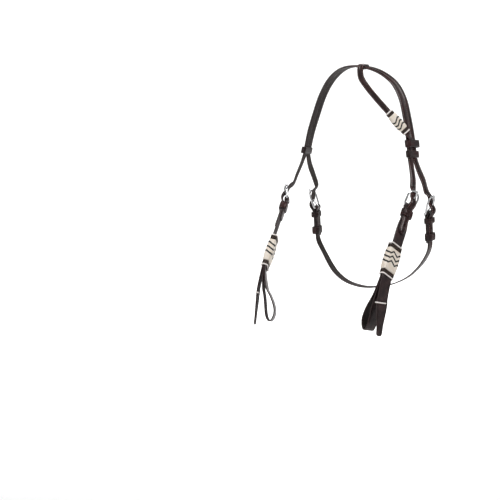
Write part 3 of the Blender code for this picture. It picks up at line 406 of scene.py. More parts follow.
class Place:
    """A spot with three directions: across the strap, up along it, and out from the wearer."""

    def __init__(self, origin, up, out):
        self.origin = Vector(origin)
        self.up = Vector(up).normalized()
        out = Vector(out)
        self.out = (out - self.up * out.dot(self.up)).normalized()
        self.across = self.up.cross(self.out)

    def at(self, across, up, out):
        return self.origin + self.across * across + self.up * up + self.out * out

    def turned(self, up, out):
        return (self.up * up + self.out * out).normalized()

    def matrix(self):
        """Local X is across, Y is up and Z is out."""
        turn = Matrix((self.across, self.up, self.out)).transposed().to_4x4()
        return Matrix.Translation(self.origin) @ turn


def station(spot, normal, width, edge, crest):
    """One stop on a strap's route: the middle of its underside, its outward side and its section."""
    return np.array([*spot, *normal, width, edge, crest], float)


def curve_between(before, start, end, after, share):
    """A centripetal Catmull-Rom curve through start and end."""
    rows = [before, start, end, after]
    times = [0.0]
    for a, b in zip(rows, rows[1:]):
        times.append(times[-1] + max(np.linalg.norm(b[:3] - a[:3]), LEAST_STEP) ** 0.5)
    now = times[1] + (times[2] - times[1]) * share
    for spans in (((0, 1), (1, 2), (2, 3)), ((0, 2), (1, 3)), ((1, 2),)):
        rows = [
            a * (times[j] - now) / (times[j] - times[i]) + b * (now - times[i]) / (times[j] - times[i])
            for a, b, (i, j) in zip(rows, rows[1:], spans)
        ]
    return rows[0]


def smooth_rows(rows, spacing, closed=False):
    """Rows whose first three numbers are a spot, run smoothly through with steps of this size."""
    rows = [np.asarray(row, float) for row in rows]
    if closed:
        run = [rows[-1], *rows, rows[0], rows[1]]
    else:
        run = [2 * rows[0] - rows[1], *rows, 2 * rows[-1] - rows[-2]]
    steps = []
    for i in range(1, len(run) - 2):
        count = max(1, math.ceil(np.linalg.norm(run[i + 1][:3] - run[i][:3]) / spacing))
        steps += [curve_between(*run[i - 1:i + 3], k / count) for k in range(count)]
    if not closed:
        steps.append(rows[-1])
    return np.array(steps)


class Route:
    """A smooth run through stations, with the strap's directions at each of its steps."""

    def __init__(self, stations, spacing=ROUTE_SPACING):
        self.steps = smooth_rows(stations, spacing)
        self.spots = self.steps[:, :3]
        runs = np.gradient(self.spots, axis=0)
        self.along = runs / np.linalg.norm(runs, axis=1)[:, None]
        normals = self.steps[:, 3:6]
        normals = normals - self.along * np.sum(normals * self.along, axis=1)[:, None]
        self.out = normals / np.linalg.norm(normals, axis=1)[:, None]
        self.across = np.cross(self.out, self.along)
        gaps = np.linalg.norm(np.diff(self.spots, axis=0), axis=1)
        self.lengths = np.concatenate([[0.0], np.cumsum(gaps)])

    def between(self, values, length):
        return np.array([np.interp(length, self.lengths, values[:, i]) for i in range(values.shape[1])])

    def place(self, length):
        """The place at a length along the route, with up running back towards its start."""
        spot, along, out = (self.between(v, length) for v in (self.spots, self.along, self.out))
        return Place(spot, -Vector(along), out)

    def point(self, step, across, out):
        return self.spots[step] + self.across[step] * across + self.out[step] * out

    def spot_at(self, length, across, out):
        spot, side, lift = (self.between(v, length) for v in (self.spots, self.across, self.out))
        return Vector(spot + side * across + lift * out)


def full_section(shares, width, edge, crest):
    """A strap's section, anticlockwise from its underside's middle: rows of across, height, share, zone."""
    half = width / 2
    right = [(a * half, e * edge + r * (crest - edge), a, zone) for a, e, r, zone in shares]
    zones = [FLESH] + [row[3] for row in right]
    left = [(-x, y, -a, zone) for (x, y, a, _), zone in zip(right[:-1], zones)]
    return [(0.0, 0.0, 0.0, FLESH), *right, *reversed(left)]


def add_object(name, shape):
    """The bmesh as an object in the scene."""
    data = bpy.data.meshes.new(name)
    shape.to_mesh(data)
    shape.free()
    made = bpy.data.objects.new(name, data)
    bpy.context.scene.collection.objects.link(made)
    return made


def new_piece(name, shape, paints):
    """The bmesh as a piece, smooth where its faces turn by less than SHARP_TURN."""
    made = add_object(name, shape)
    for paint in paints:
        made.data.materials.append(paint)
    made.data.shade_smooth()
    made.data.set_sharp_from_angle(angle=SHARP_TURN)
    return made


def closed_piece(name, shape, paints):
    """The closed bmesh as a piece, its faces turned outwards."""
    bmesh.ops.recalc_face_normals(shape, faces=shape.faces)
    return new_piece(name, shape, paints)


def join_rings(shape, ring, following, layer=None, along=(), across=(), zones=None):
    """Faces from one ring of points to the next, with how far along and across their corners are."""
    for k in range(len(ring)):
        after = (k + 1) % len(ring)
        face = shape.faces.new((ring[k], ring[after], following[after], following[k]))
        if zones:
            face.material_index = zones[k]
        if layer:
            corners = ((0, k), (0, k + 1), (1, k + 1), (1, k))
            for loop, (end, side) in zip(face.loops, corners):
                loop[layer].uv = (along[end], across[side])


def fine_strap(name, route, shares, paints, lift=0.0):
    """A strap laid along its route, with rounded edges, a pressed line inside each edge and a flesh side."""
    shape = bmesh.new()
    layer = shape.loops.layers.uv.new("strap")
    rings = []
    for step, values in enumerate(route.steps):
        section = full_section(shares, *values[6:9])
        rings.append([shape.verts.new(route.point(step, row[0], row[1] + lift)) for row in section])
    section = full_section(shares, 1, 1, 1)
    across = [row[2] for row in section + section[:1]]
    zones = [row[3] for row in section]
    for step, (ring, following) in enumerate(zip(rings, rings[1:])):
        join_rings(shape, ring, following, layer, route.lengths[step:step + 2], across, zones)
    for ring, length in ((rings[0], 0.0), (rings[-1], route.lengths[-1])):
        face = shape.faces.new(ring)
        face.material_index = EDGE
        for loop in face.loops:
            loop[layer].uv = (length, 1.0)
    return closed_piece(name, shape, paints)


def cut_out(body, cutters):
    """Takes the cutters out of the body for good, drops them, and closes the slivers that they leave."""
    for cutter in cutters:
        change = body.modifiers.new(cutter.name, "BOOLEAN")
        change.operation = "DIFFERENCE"
        change.solver = "EXACT"
        change.object = cutter
    graph = bpy.context.evaluated_depsgraph_get()
    cut = bpy.data.meshes.new_from_object(body.evaluated_get(graph))
    shape = bmesh.new()
    shape.from_mesh(cut)
    bmesh.ops.remove_doubles(shape, verts=shape.verts, dist=SLIVER)
    bmesh.ops.dissolve_degenerate(shape, dist=SLIVER, edges=shape.edges)
    shape.to_mesh(cut)
    shape.free()
    cut.set_sharp_from_angle(angle=SHARP_TURN)
    uncut = body.data
    body.modifiers.clear()
    body.data = cut
    bpy.data.meshes.remove(uncut)
    for cutter in cutters:
        data = cutter.data
        bpy.data.objects.remove(cutter)
        bpy.data.meshes.remove(data)


def add_cutter(name, shape, matrix):
    """The bmesh as a cutter, moved to its place."""
    made = add_object(name, shape)
    made.matrix_world = matrix
    return made


def slot_cutter(name, size, matrix):
    """A slot with round ends across its tall side, long along local Z."""
    wide, tall, deep = size
    shape = bmesh.new()
    rings = []
    for end in (-deep / 2, deep / 2):
        ring = []
        for k in range(CUTTER_SIDES):
            turn = math.tau * k / CUTTER_SIDES
            y = (tall - wide) / 2 * (1 if math.sin(turn) >= 0 else -1)
            ring.append(shape.verts.new((wide / 2 * math.cos(turn), wide / 2 * math.sin(turn) + y, end)))
        shape.faces.new(ring)
        rings.append(ring)
    join_rings(shape, *rings)
    bmesh.ops.recalc_face_normals(shape, faces=shape.faces)
    return add_cutter(name, shape, matrix)


def round_cutter(name, radius, depth, matrix):
    shape = bmesh.new()
    bmesh.ops.create_cone(
        shape, cap_ends=True, segments=CUTTER_SIDES, radius1=radius, radius2=radius, depth=depth
    )
    return add_cutter(name, shape, matrix)


def box_cutter(name, size, matrix):
    shape = bmesh.new()
    bmesh.ops.create_cube(shape, size=1)
    bmesh.ops.scale(shape, vec=size, verts=shape.verts)
    return add_cutter(name, shape, matrix)


def tube_piece(name, points, radius, plane, paint, sides, closed=False):
    """A round wire through points that lie in one plane, with rounded ends where it isn't closed."""
    shape = bmesh.new()
    layer = shape.loops.layers.uv.new("strap")
    points = [Vector(p) for p in points]
    plane = Vector(plane).normalized()
    count = len(points)
    rows = []
    for i, point in enumerate(points):
        before = points[i - 1] if closed or i else point
        after = points[(i + 1) % count] if closed or i < count - 1 else point
        rows.append((point, (after - before).normalized(), 1.0))
    if not closed:
        for way in (-1, 1):
            point, run, _ = rows[0] if way < 0 else rows[-1]
            cap = []
            for k in range(1, CAP_STEPS + 1):
                turn = math.pi / 2 * k / CAP_STEPS
                shift = run * way * radius * math.sin(turn)
                cap.append((point + shift, run, max(math.cos(turn), CAP_LEAST_SHARE)))
            rows = cap[::-1] + rows if way < 0 else rows + cap
    rings = []
    for point, run, scale in rows:
        side = run.cross(plane).normalized()
        ring = []
        for k in range(sides):
            turn = math.tau * k / sides
            off = side * math.cos(turn) + plane * math.sin(turn)
            ring.append(shape.verts.new(point + off * radius * scale))
        rings.append(ring)
    spots = [row[0] for row in rows]
    if closed:
        spots.append(spots[0])
        rings.append(rings[0])
    lengths = [0.0]
    for a, b in zip(spots, spots[1:]):
        lengths.append(lengths[-1] + (b - a).length)
    across = [k / sides for k in range(sides + 1)]
    for i, (ring, following) in enumerate(zip(rings, rings[1:])):
        join_rings(shape, ring, following, layer, lengths[i:i + 2], across)
    if not closed:
        shape.faces.new(rings[0])
        shape.faces.new(rings[-1])
    return closed_piece(name, shape, [paint])


def rounded_rows(half_width, low, high, corner, spacing):
    """Points round a rectangle with round corners, each with its outward direction."""
    corner = min(corner, half_width, (high - low) / 2)
    middles = (
        (half_width - corner, low + corner, -90),
        (half_width - corner, high - corner, 0),
        (corner - half_width, high - corner, 90),
        (corner - half_width, low + corner, 180),
    )
    found = []
    for i, (x, y, start) in enumerate(middles):
        steps = max(4, math.ceil(corner * math.pi / 2 / spacing))
        for k in range(steps + 1):
            angle = math.radians(start + 90 * k / steps)
            way = (math.cos(angle), math.sin(angle))
            found.append((x + corner * way[0], y + corner * way[1], *way))
        x2, y2, start2 = middles[(i + 1) % 4]
        angle = math.radians(start2)
        way = (math.cos(angle), math.sin(angle))
        here = found[-1][:2]
        run = (x2 + corner * way[0] - here[0], y2 + corner * way[1] - here[1])
        extra = max(1, round(math.hypot(*run) / spacing))
        for k in range(1, extra):
            share = k / extra
            found.append((here[0] + run[0] * share, here[1] + run[1] * share, *way))
    return found


def lengths_round(outline):
    """How far round the closed outline each of its points is, and at last its whole length."""
    lengths = [0.0]
    for a, b in zip(outline, outline[1:] + outline[:1]):
        lengths.append(lengths[-1] + math.hypot(b[0] - a[0], b[1] - a[1]))
    return lengths


def sleeve(name, place, middle, outline, rows_at, paints, zones=None):
    """A band round the strap. Its section at each length round it is rows of up, off and place across."""
    shape = bmesh.new()
    layer = shape.loops.layers.uv.new("strap")
    lengths = lengths_round(outline)
    columns = []
    for (x, y, out_x, out_y), length in zip(outline, lengths):
        columns.append([
            shape.verts.new(place.at(x + out_x * off, middle + up, y + out_y * off))
            for up, off, _ in rows_at(length)
        ])
    across = [row[2] for row in rows_at(0.0)]
    across.append(across[0])
    for i, column in enumerate(columns):
        following = columns[(i + 1) % len(columns)]
        join_rings(shape, column, following, layer, lengths[i:i + 2], across, zones)
    return closed_piece(name, shape, paints)


class Signal:
    """A number in a material, which takes part in Python sums."""

    def __init__(self, paint, node, output):
        self.paint = paint
        self.node = node
        self.socket = node.outputs[output]

    def other(self, output):
        return Signal(self.paint, self.node, output)

    def reckon(self, operation, *values):
        return self.paint.add("ShaderNodeMath", {"operation": operation}, dict(enumerate(values)))

    def __add__(self, value):
        return self.reckon("ADD", self, value)

    __radd__ = __add__

    def __sub__(self, value):
        return self.reckon("SUBTRACT", self, value)

    def __rsub__(self, value):
        return self.reckon("SUBTRACT", value, self)

    def __mul__(self, value):
        return self.reckon("MULTIPLY", self, value)

    __rmul__ = __mul__

    def __truediv__(self, value):
        return self.reckon("DIVIDE", self, value)

    def __abs__(self):
        return self.reckon("ABSOLUTE", self)

    def sine(self):
        return self.reckon("SINE", self)

    def floor(self):
        return self.reckon("FLOOR", self)

    def least(self, value):
        return self.reckon("MINIMUM", self, value)

    def smooth(self, low, high):
        """0 below low, 1 above high and an even ease between."""
        return self.paint.add(
            "ShaderNodeMapRange", {"interpolation_type": "SMOOTHSTEP", "clamp": True},
            {0: self, 1: low, 2: high, 3: 0.0, 4: 1.0},
        )


class Paint:
    """A material in the making, with one Principled shader. Its patterns move with the object."""

    def __init__(self, name, metallic=0.0, coat=0.0, coat_roughness=0.2, specular=0.5, sheen=0.0):
        self.material = bpy.data.materials.new(name)
        self.material.use_nodes = True
        self.tree = self.material.node_tree
        self.tree.nodes.clear()
        self.shader = self.tree.nodes.new("ShaderNodeBsdfPrincipled")
        last = self.tree.nodes.new("ShaderNodeOutputMaterial")
        self.tree.links.new(self.shader.outputs[0], last.inputs[0])
        constants = (
            ("Metallic", metallic), ("Coat Weight", coat), ("Coat Roughness", coat_roughness),
            ("Specular IOR Level", specular), ("Sheen Weight", sheen),
        )
        for word, value in constants:
            self.shader.inputs[word].default_value = value
        self.spot = self.add("ShaderNodeTexCoord", output="Object")

    def add(self, kind, settings=None, values=None, output=0):
        """A node of this type, its settings made first, then its sockets filled or linked."""
        node = self.tree.nodes.new(kind)
        for word, value in (settings or {}).items():
            setattr(node, word, value)
        for key, value in (values or {}).items():
            self.feed(node.inputs[key], value)
        return Signal(self, node, output)

    def feed(self, socket, value):
        if isinstance(value, Signal):
            self.tree.links.new(value.socket, socket)
        elif socket.type == "RGBA":
            socket.default_value = (*value, 1.0)
        else:
            socket.default_value = value

    def strap_way(self):
        """How far along the strap, in metres, and how far across, from -1 to 1."""
        lay = self.add("ShaderNodeUVMap", {"uv_map": "strap"})
        split = self.add("ShaderNodeSeparateXYZ", values={0: lay})
        return split, split.other(1)

    def stretched(self, *factors):
        return self.add("ShaderNodeVectorMath", {"operation": "MULTIPLY"}, {0: self.spot, 1: factors})

    def joined(self, x, y):
        return self.add("ShaderNodeCombineXYZ", values={0: x, 1: y})

    def noise(self, scale, detail=2.0, roughness=0.5, spot=None):
        """Clouds, about this many to a metre, or to one unit of the spot that is given."""
        return self.add(
            "ShaderNodeTexNoise", {"noise_dimensions": "3D"},
            {"Vector": spot or self.spot, "Scale": scale, "Detail": detail, "Roughness": roughness}, "Fac",
        )

    def cells(self, scale):
        """Pebbles, about this many to a metre."""
        values = {"Vector": self.spot, "Scale": scale}
        return self.add("ShaderNodeTexVoronoi", values=values, output="Distance")

    def mixed(self, factor, first, second):
        return self.add("ShaderNodeMix", {"data_type": "RGBA"}, {0: factor, 6: first, 7: second}, 2)

    def bump(self, height, strength, depth):
        return self.add(
            "ShaderNodeBump", values={"Strength": strength, "Distance": depth, "Height": height},
        )

    def done(self, colour, roughness, normal=None):
        self.feed(self.shader.inputs["Base Color"], colour)
        self.feed(self.shader.inputs["Roughness"], roughness)
        if normal is not None:
            self.feed(self.shader.inputs["Normal"], normal)
        return self.material


def tint(colour, *factors):
    """The colour times one factor, or times one for each channel, and no lighter than white."""
    factors = factors if len(factors) == 3 else factors * 3
    return [min(1.0, channel * factor) for channel, factor in zip(colour, factors)]


def grain_leather(name, main, warm, edge):
    """Drum-dyed bridle leather: fine pebble, cloudy dye with redder clouds, darker towards its edges."""
    paint = Paint(name, coat=0.34, coat_roughness=0.15, specular=0.18)
    along, across = paint.strap_way()
    reach = abs(across)
    cloud = paint.noise(60.0, 4.0)
    fine = paint.noise(480.0, 3.0, 0.6)
    pebble = paint.cells(1500.0)
    pores = paint.noise(3000.0)
    wrinkle = paint.noise(1.0, 3.0, spot=paint.joined(along * 900.0, across * 9.0))
    redness = (cloud * 0.7 + fine * 0.3).smooth(0.40, 0.66)
    colour = paint.mixed(redness * 0.85, main, warm)
    colour = paint.mixed(reach.smooth(0.80, 0.96) * 0.75, colour, edge)
    # Painted shade: a thin dark line along each stitch row, standing in for the shade in the pressed groove
    # beside the stitches
    crease_shade = 1.0 - (abs(reach - STITCH_ROW_SHARE) * 22.0).smooth(0.0, 1.0)
    colour = paint.mixed(crease_shade * 0.45, colour, edge)
    height = pebble * 0.55 + pores * 0.25 + fine * 0.6 + wrinkle * 0.35
    roughness = fine * 0.22 + cloud * 0.12 + 0.30
    return paint.done(colour, roughness, paint.bump(height, 0.28, 0.25 * MM))


def edge_leather(name, edge):
    """Burnished edge: smooth, with the faint lines of the plies."""
    paint = Paint(name, coat=0.3, coat_roughness=0.3)
    along, across = paint.strap_way()
    streak = paint.noise(1.0, 3.0, spot=paint.joined(along * 160.0, across * 60.0))
    fine = paint.noise(900.0, 3.0)
    colour = paint.mixed(streak.smooth(0.35, 0.7) * 0.6, edge, tint(edge, 2.6))
    return paint.done(colour, fine * 0.2 + 0.30, paint.bump(streak + fine * 0.5, 0.2, 0.2 * MM))


def flesh_leather(name, flesh):
    """The rough side: short fibres, matt, the dye thinner."""
    paint = Paint(name, specular=0.25, sheen=0.15)
    fibres = paint.noise(1700.0, 4.0, 0.7, paint.stretched(1.0, 1.0, 0.35))
    cloud = paint.noise(150.0, 3.0)
    colour = paint.mixed(fibres.smooth(0.35, 0.7), tint(flesh, 0.7), tint(flesh, 1.7))
    colour = paint.mixed(cloud.smooth(0.4, 0.7) * 0.3, colour, tint(flesh, 0.5))
    return paint.done(colour, fibres * 0.15 + 0.78, paint.bump(fibres, 0.5, 0.3 * MM))


def waxed_thread(name, thread):
    """Twisted thread, with painted shade that makes its hollows darker."""
    paint = Paint(name, coat=0.1, specular=0.4)
    twist_and_shade = paint.noise(2600.0)
    # Painted shade: where the twist's bump sinks, the colour is darker
    colour = paint.mixed(twist_and_shade.smooth(0.3, 0.7), tint(thread, 0.6), tint(thread, 1.3))
    return paint.done(colour, 0.5, paint.bump(twist_and_shade, 0.4, 0.15 * MM))


def polished_metal(name, metal, roughness):
    """Polished steel with a few hair scratches."""
    paint = Paint(name, metallic=1.0)
    smear = paint.noise(130.0, 3.0)
    hair = paint.noise(2200.0, spot=paint.stretched(0.25, 1.0, 1.0))
    colour = paint.mixed(smear.smooth(0.45, 0.75) * 0.35, metal, tint(metal, 0.72))
    shine = smear * 0.10 + hair * 0.06 + (roughness - 0.08)
    return paint.done(colour, shine, paint.bump(hair + smear * 0.4, 0.05, 0.1 * MM))


def floor_of(value):
    return value.floor() if isinstance(value, Signal) else math.floor(value)


def least_of(first, second):
    return first.least(second) if isinstance(first, Signal) else min(first, second)


def sine_of(value):
    return value.sine() if isinstance(value, Signal) else math.sin(value)


class Weave:
    """How one kind of knot is braided. Its sums give the surface from numbers, the colour from signals."""

    def __init__(self, knots, outline, band, zigzags, rising_share, dark_every, dark_reach, dark_shift):
        self.knots = knots
        around = lengths_round(outline)[-1]
        self.width = around / zigzags
        self.rising_share = rising_share
        self.spacing = dark_every * knots.strand_width
        self.dark_reach = dark_reach
        self.shift = dark_shift
        self.dark_end = knots.dark_strands / 2 * self.spacing
        self.band = band
        self.band_cell = around / max(2, round(around / knots.band_cell))

    def zigzag(self, around):
        """From 0 at the bottom of each zigzag to 1 at its top."""
        share = around / self.width
        share = share - floor_of(share)
        return least_of(share / self.rising_share, (1.0 - share) / (1.0 - self.rising_share))

    def own_up(self, around, up):
        """How high a place is above the middle dark strand, measured along the knot."""
        return up - self.shift - (self.zigzag(around) - 0.5) * self.knots.chevron_depth

    def off_strand(self, own_up):
        """How far a place is from its own strand's middle, in strand widths."""
        count = own_up / self.knots.strand_width
        return abs(count - floor_of(count + 0.5))

    def off_dark(self, own_up):
        """How far it is from the nearest dark strand's middle, in strand widths."""
        count = own_up / self.spacing
        return abs(count - floor_of(count + 0.5)) * (self.spacing / self.knots.strand_width)

    def band_strands(self, around, up):
        """How high the end band's two slanting sets of strands lie there, each from 0 to 1."""
        first = around / self.band_cell + up * 2 / self.band
        second = around / self.band_cell - up * 2 / self.band
        return abs(sine_of(first * math.pi)), abs(sine_of(second * math.pi))


def cream_rawhide(name, weave):
    """Braided rawhide: cream strands laid in zigzags, with dark ones let in at the middle, and painted shade
    in the grooves between strands.
    """
    cream, deep = weave.knots.cream_colour, weave.knots.dark_colour
    paint = Paint(name, coat=0.12, coat_roughness=0.35, specular=0.4)
    own_up = weave.own_up(*paint.strap_way())
    groove_shade = weave.off_strand(own_up).smooth(0.36, 0.5)
    cloud = paint.noise(190.0, 3.0)
    fibres = paint.noise(1400.0, 3.0, spot=paint.stretched(1.0, 1.0, 0.3))
    colour = paint.mixed(cloud.smooth(0.35, 0.7) * 0.5, cream, tint(cream, 0.90, 0.82, 0.70))
    colour = paint.mixed(fibres.smooth(0.5, 0.75) * 0.25, colour, tint(cream, 1.12))
    # Painted shade: the grooves between strands are coloured darker, where shade falls
    colour = paint.mixed(groove_shade * 0.40, colour, tint(cream, 0.55, 0.42, 0.30))
    reach = weave.dark_reach
    on_dark = 1.0 - weave.off_dark(own_up).smooth(reach - DARK_BLUR, reach + DARK_BLUR)
    in_middle = 1.0 - abs(own_up).smooth(weave.dark_end - DARK_END_BLUR, weave.dark_end)
    blackish = paint.mixed(fibres.smooth(0.3, 0.7), deep, tint(deep, 2.2))
    colour = paint.mixed(on_dark * in_middle, colour, blackish)
    return paint.done(colour, fibres * 0.2 + 0.34, paint.bump(fibres + cloud * 0.4, 0.22, 0.25 * MM))


def dark_rawhide(name, weave):
    """The end bands: black strands crossing brown ones, mottled, with pale flecks between them."""
    brown, black = weave.knots.band_colour, weave.knots.dark_colour
    paint = Paint(name, coat=0.06, coat_roughness=0.35, specular=0.2)
    first, second = weave.band_strands(*paint.strap_way())
    cloud = paint.noise(420.0, 3.0)
    fibres = paint.noise(1500.0, 3.0)
    mottled = paint.mixed(cloud.smooth(0.38, 0.62), tint(brown, 0.45), tint(brown, 1.5))
    colour = paint.mixed((first - second).smooth(-0.10, 0.10), black, mottled)
    fleck = (1.0 - (first + second).smooth(0.25, 0.60)) * fibres.smooth(0.35, 0.60)
    colour = paint.mixed(fleck * 0.6, colour, weave.knots.cream_colour)
    return paint.done(colour, fibres * 0.2 + 0.38, paint.bump(fibres, 0.25, 0.25 * MM))


def pale_lace(name, lace):
    """Soft white hide lace, a little fibrous."""
    paint = Paint(name, specular=0.35)
    fibres = paint.noise(1600.0, 3.0, 0.6)
    cloud = paint.noise(260.0, 3.0)
    colour = paint.mixed(cloud.smooth(0.35, 0.7) * 0.3, lace, tint(lace, 0.82, 0.76, 0.70))
    colour = paint.mixed(fibres.smooth(0.55, 0.8) * 0.3, colour, tint(lace, 0.6))
    return paint.done(colour, fibres * 0.2 + 0.50, paint.bump(fibres, 0.35, 0.25 * MM))


def studio_white(name, colour):
    """Plain matt paint for the floor, very faintly clouded."""
    paint = Paint(name, specular=0.1)
    return paint.done(paint.mixed(paint.noise(1.5), colour, tint(colour, 0.985)), 0.9)


def settings_of():
    return bpy.context.scene.headstall


def paint_of(name):
    """The named material, made on first use."""
    found = bpy.data.materials.get(name)
    if found:
        return found
    leather, knots, metal = settings_of().leather, settings_of().knots, settings_of().metal
    makers = {
        "brown_grain": (grain_leather, leather.strap_colour, leather.warm_colour, leather.edge_colour),
        "brown_edge": (edge_leather, leather.edge_colour),
        "cheek_grain": (grain_leather, leather.cheek_colour, leather.cheek_warm_colour, leather.edge_colour),
        "cheek_edge": (edge_leather, tint(leather.edge_colour, 1.3)),
        "flesh_side": (flesh_leather, leather.flesh_colour),
        "thread": (waxed_thread, leather.thread_colour),
        "steel": (polished_metal, metal.colour, metal.roughness),
        "lace": (pale_lace, knots.lace_colour),
    }
    maker, *values = makers[name]
    return maker(name, *values)


def leather_paints(kind):
    """A strap's paints in the order of its zones: flesh side, edges and grain."""
    return [paint_of("flesh_side"), paint_of(f"{kind}_edge"), paint_of(f"{kind}_grain")]


def fit(piece, body, slot, *nodes):
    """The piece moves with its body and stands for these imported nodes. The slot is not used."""
    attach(piece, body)
    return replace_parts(piece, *nodes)


class BuckleSizes:
    """The sizes of one kind of buckle and of the straps that meet in it, as the solids have them."""

    def __init__(self, wire_radius, length, chape_width, thickness, bulge):
        self.wire = wire_radius
        self.length = length
        self.thickness = thickness
        self.half_inside = max(chape_width, BILLET_WIDTH) / 2 + BUCKLE_SIDE_ROOM
        self.outer_up = length * math.cos(BUCKLE_TILT)
        self.outer_out = length * math.sin(BUCKLE_TILT)
        self.fold_inner = wire_radius + GAP
        self.layer_low = GAP / 2
        self.layer_high = GAP / 2 + thickness
        self.billet_low = self.layer_high + GAP
        self.bulge_out = self.fold_inner + thickness + GAP + bulge
        self.under_bar = self.outer_out - wire_radius - GAP - BILLET_CREST - GAP


CHEEK = BuckleSizes(
    wire_radius=1.7 * MM, length=0.027, chape_width=CHEEK_CHAPE_WIDTH, thickness=CHEEK_THICKNESS,
    bulge=3.8 * MM,
)
THROAT = BuckleSizes(
    wire_radius=1.6 * MM, length=0.030, chape_width=THROAT_WIDTH, thickness=THROAT_THICKNESS,
    bulge=4.8 * MM,
)


def heel_place(word, kind):
    """The place at a buckle's heel bar, which is its hinge: across lies along the bar."""
    joint = next(j for j in frame["joints"] if j["name"] == f"{word}_{kind}_frame_hinge")
    across = Vector(joint["axis"]).normalized()
    up = Vector((0, -across.z, across.y))
    up *= 1 if up.z > 0 else -1
    return Place(joint["pos_m"], up, across.cross(up))


def crown_stations(side):
    """Stations from the crown's middle to one side's fork."""
    found = []
    for out, back, down, normal_out, normal_forward, normal_up in CROWN_SHARES:
        spot = (side * out * CROWN_HALF_WIDTH, back * CROWN_SET_BACK, -down * FORK_DROP)
        normal = (side * normal_out, -normal_forward, normal_up)
        found.append(station(spot, normal, FRONT_STRAND_WIDTH, CROWN_EDGE, CROWN_CREST))
    return found


def crown_route():
    """The crown from the wearer's left fork over the top to its right fork."""
    return Route(crown_stations(1)[::-1] + crown_stations(-1))


def crown_place(side, above_fork):
    """A place on the crown above one fork, its up running to the top."""
    crown = crown_route()
    if side == 1:
        found = crown.place(above_fork)
        return Place(found.origin, -found.up, found.out)
    return crown.place(crown.lengths[-1] - above_fork)


def billet_stations(place, sizes, below, run, fork, fork_normal, fork_down):
    """Stations of one billet from its tip up to the fork."""
    width, edge, crest = BILLET_WIDTH, BILLET_EDGE, BILLET_CREST
    tip = width * TIP_LENGTH_SHARE
    lay = sizes.billet_low
    found = [
        station(place.at(0, tip * along - below, lay), place.out, width * share, edge, crest)
        for along, share in TIP_SHARES
    ]
    bulge, wire = sizes.bulge_out, sizes.wire
    ups = (
        (-below / 2, lay), (-5.5 * wire, lay), (-4.4 * wire, lay + GAP / 2),
        (-1.5 * wire, (lay + bulge) / 2), (1.5 * wire, bulge), (5 * wire, bulge),
        (9 * wire, (bulge + 2 * sizes.under_bar) / 3),
        (sizes.outer_up, sizes.under_bar), (run, -sizes.layer_high),
    )
    for up, out in ups:
        if up > tip - below + GAP:
            found.append(station(place.at(0, up, out), place.out, width, edge, crest))
    top = place.at(0, run, -sizes.layer_high)
    reach = (top - fork).length
    leave = place.up * reach * BILLET_EASE_SHARE
    arrive = fork_down * reach * BILLET_EASE_SHARE
    for share in reversed(BILLET_WAY_SHARES):
        spot = (
            (2 * share ** 3 - 3 * share ** 2 + 1) * fork
            + (share ** 3 - 2 * share ** 2 + share) * arrive
            + (3 * share ** 2 - 2 * share ** 3) * top
            + (share ** 3 - share ** 2) * -leave
        )
        normal = fork_normal * (1 - share) + place.out * share
        found.append(station(spot, normal, width, edge, crest))
    return found


def strand_route(kind, sizes, below, run, shift, width):
    """One strand: a billet's tip, up to the left fork, over the crown and down to the other tip."""
    crown = crown_route()
    ends = {}
    for step, side, word in ((0, 1, "left"), (-1, -1, "right")):
        fork = Vector(crown.point(step, shift, 0))
        down = Vector(crown.along[step]) * -side
        normal = Vector(crown.out[step])
        ends[side] = billet_stations(heel_place(word, kind), sizes, below, run, fork, normal, down)
    over = [
        station(crown.point(step, shift, 0), crown.out[step], width, CROWN_EDGE, CROWN_CREST)
        for step in range(len(crown.steps))
    ]
    return Route(ends[1] + over + ends[-1][::-1], FINE_SPACING)


def tongue_leave(sizes):
    """Where the tongue's shank leaves its ring round the heel bar, as (up, out)."""
    ring = sizes.wire + MOVING_GAP + TONGUE_RADIUS
    return ring * math.sin(TONGUE_RISE), -ring * math.cos(TONGUE_RISE)


def billet_cutters(kind, sizes, hole_below):
    """For both sides: the slot that the tongue comes through, and a spare hole below it."""
    found = []
    rise = Vector((0, math.cos(TONGUE_RISE), math.sin(TONGUE_RISE)))
    start = tongue_leave(sizes)
    reach = sizes.bulge_out + BILLET_CREST / 2 - start[1]
    centre = Vector((0, start[0], start[1])) + rise * (reach / math.sin(TONGUE_RISE))
    across = Vector((1, 0, 0))
    lift = rise.cross(across) * -1
    turn = Matrix((across, lift, across.cross(lift))).transposed().to_4x4()
    size = (TONGUE_SLOT_WIDTH, TONGUE_SLOT_WIDTH + TONGUE_LIFT_ROOM, 7 * BILLET_CREST)
    for _, word in SIDES:
        lay = heel_place(word, kind).matrix()
        slot = lay @ Matrix.Translation(centre + lift * (TONGUE_LIFT_ROOM / 2)) @ turn
        found.append(slot_cutter(f"{word}_slot", size, slot))
        hole = lay @ Matrix.Translation((0, -hole_below, sizes.billet_low + BILLET_CREST / 2))
        found.append(round_cutter(f"{word}_hole", HOLE_RADIUS, 3 * BILLET_CREST, hole))
    return found


def stitch_rows(name, route, start, end):
    """Two rows of sewing: short thread capsules that dip into the leather at their ends."""
    leather = settings_of().leather
    shape = bmesh.new()
    count = int((end - start) / leather.stitch_length)
    for side in (1, -1):
        for k in range(count):
            middle = start + (k + 0.5) * leather.stitch_length
            add_stitch(shape, route, middle, leather, side * STITCH_ROW_SHARE)
    return closed_piece(name, shape, [paint_of("thread")])


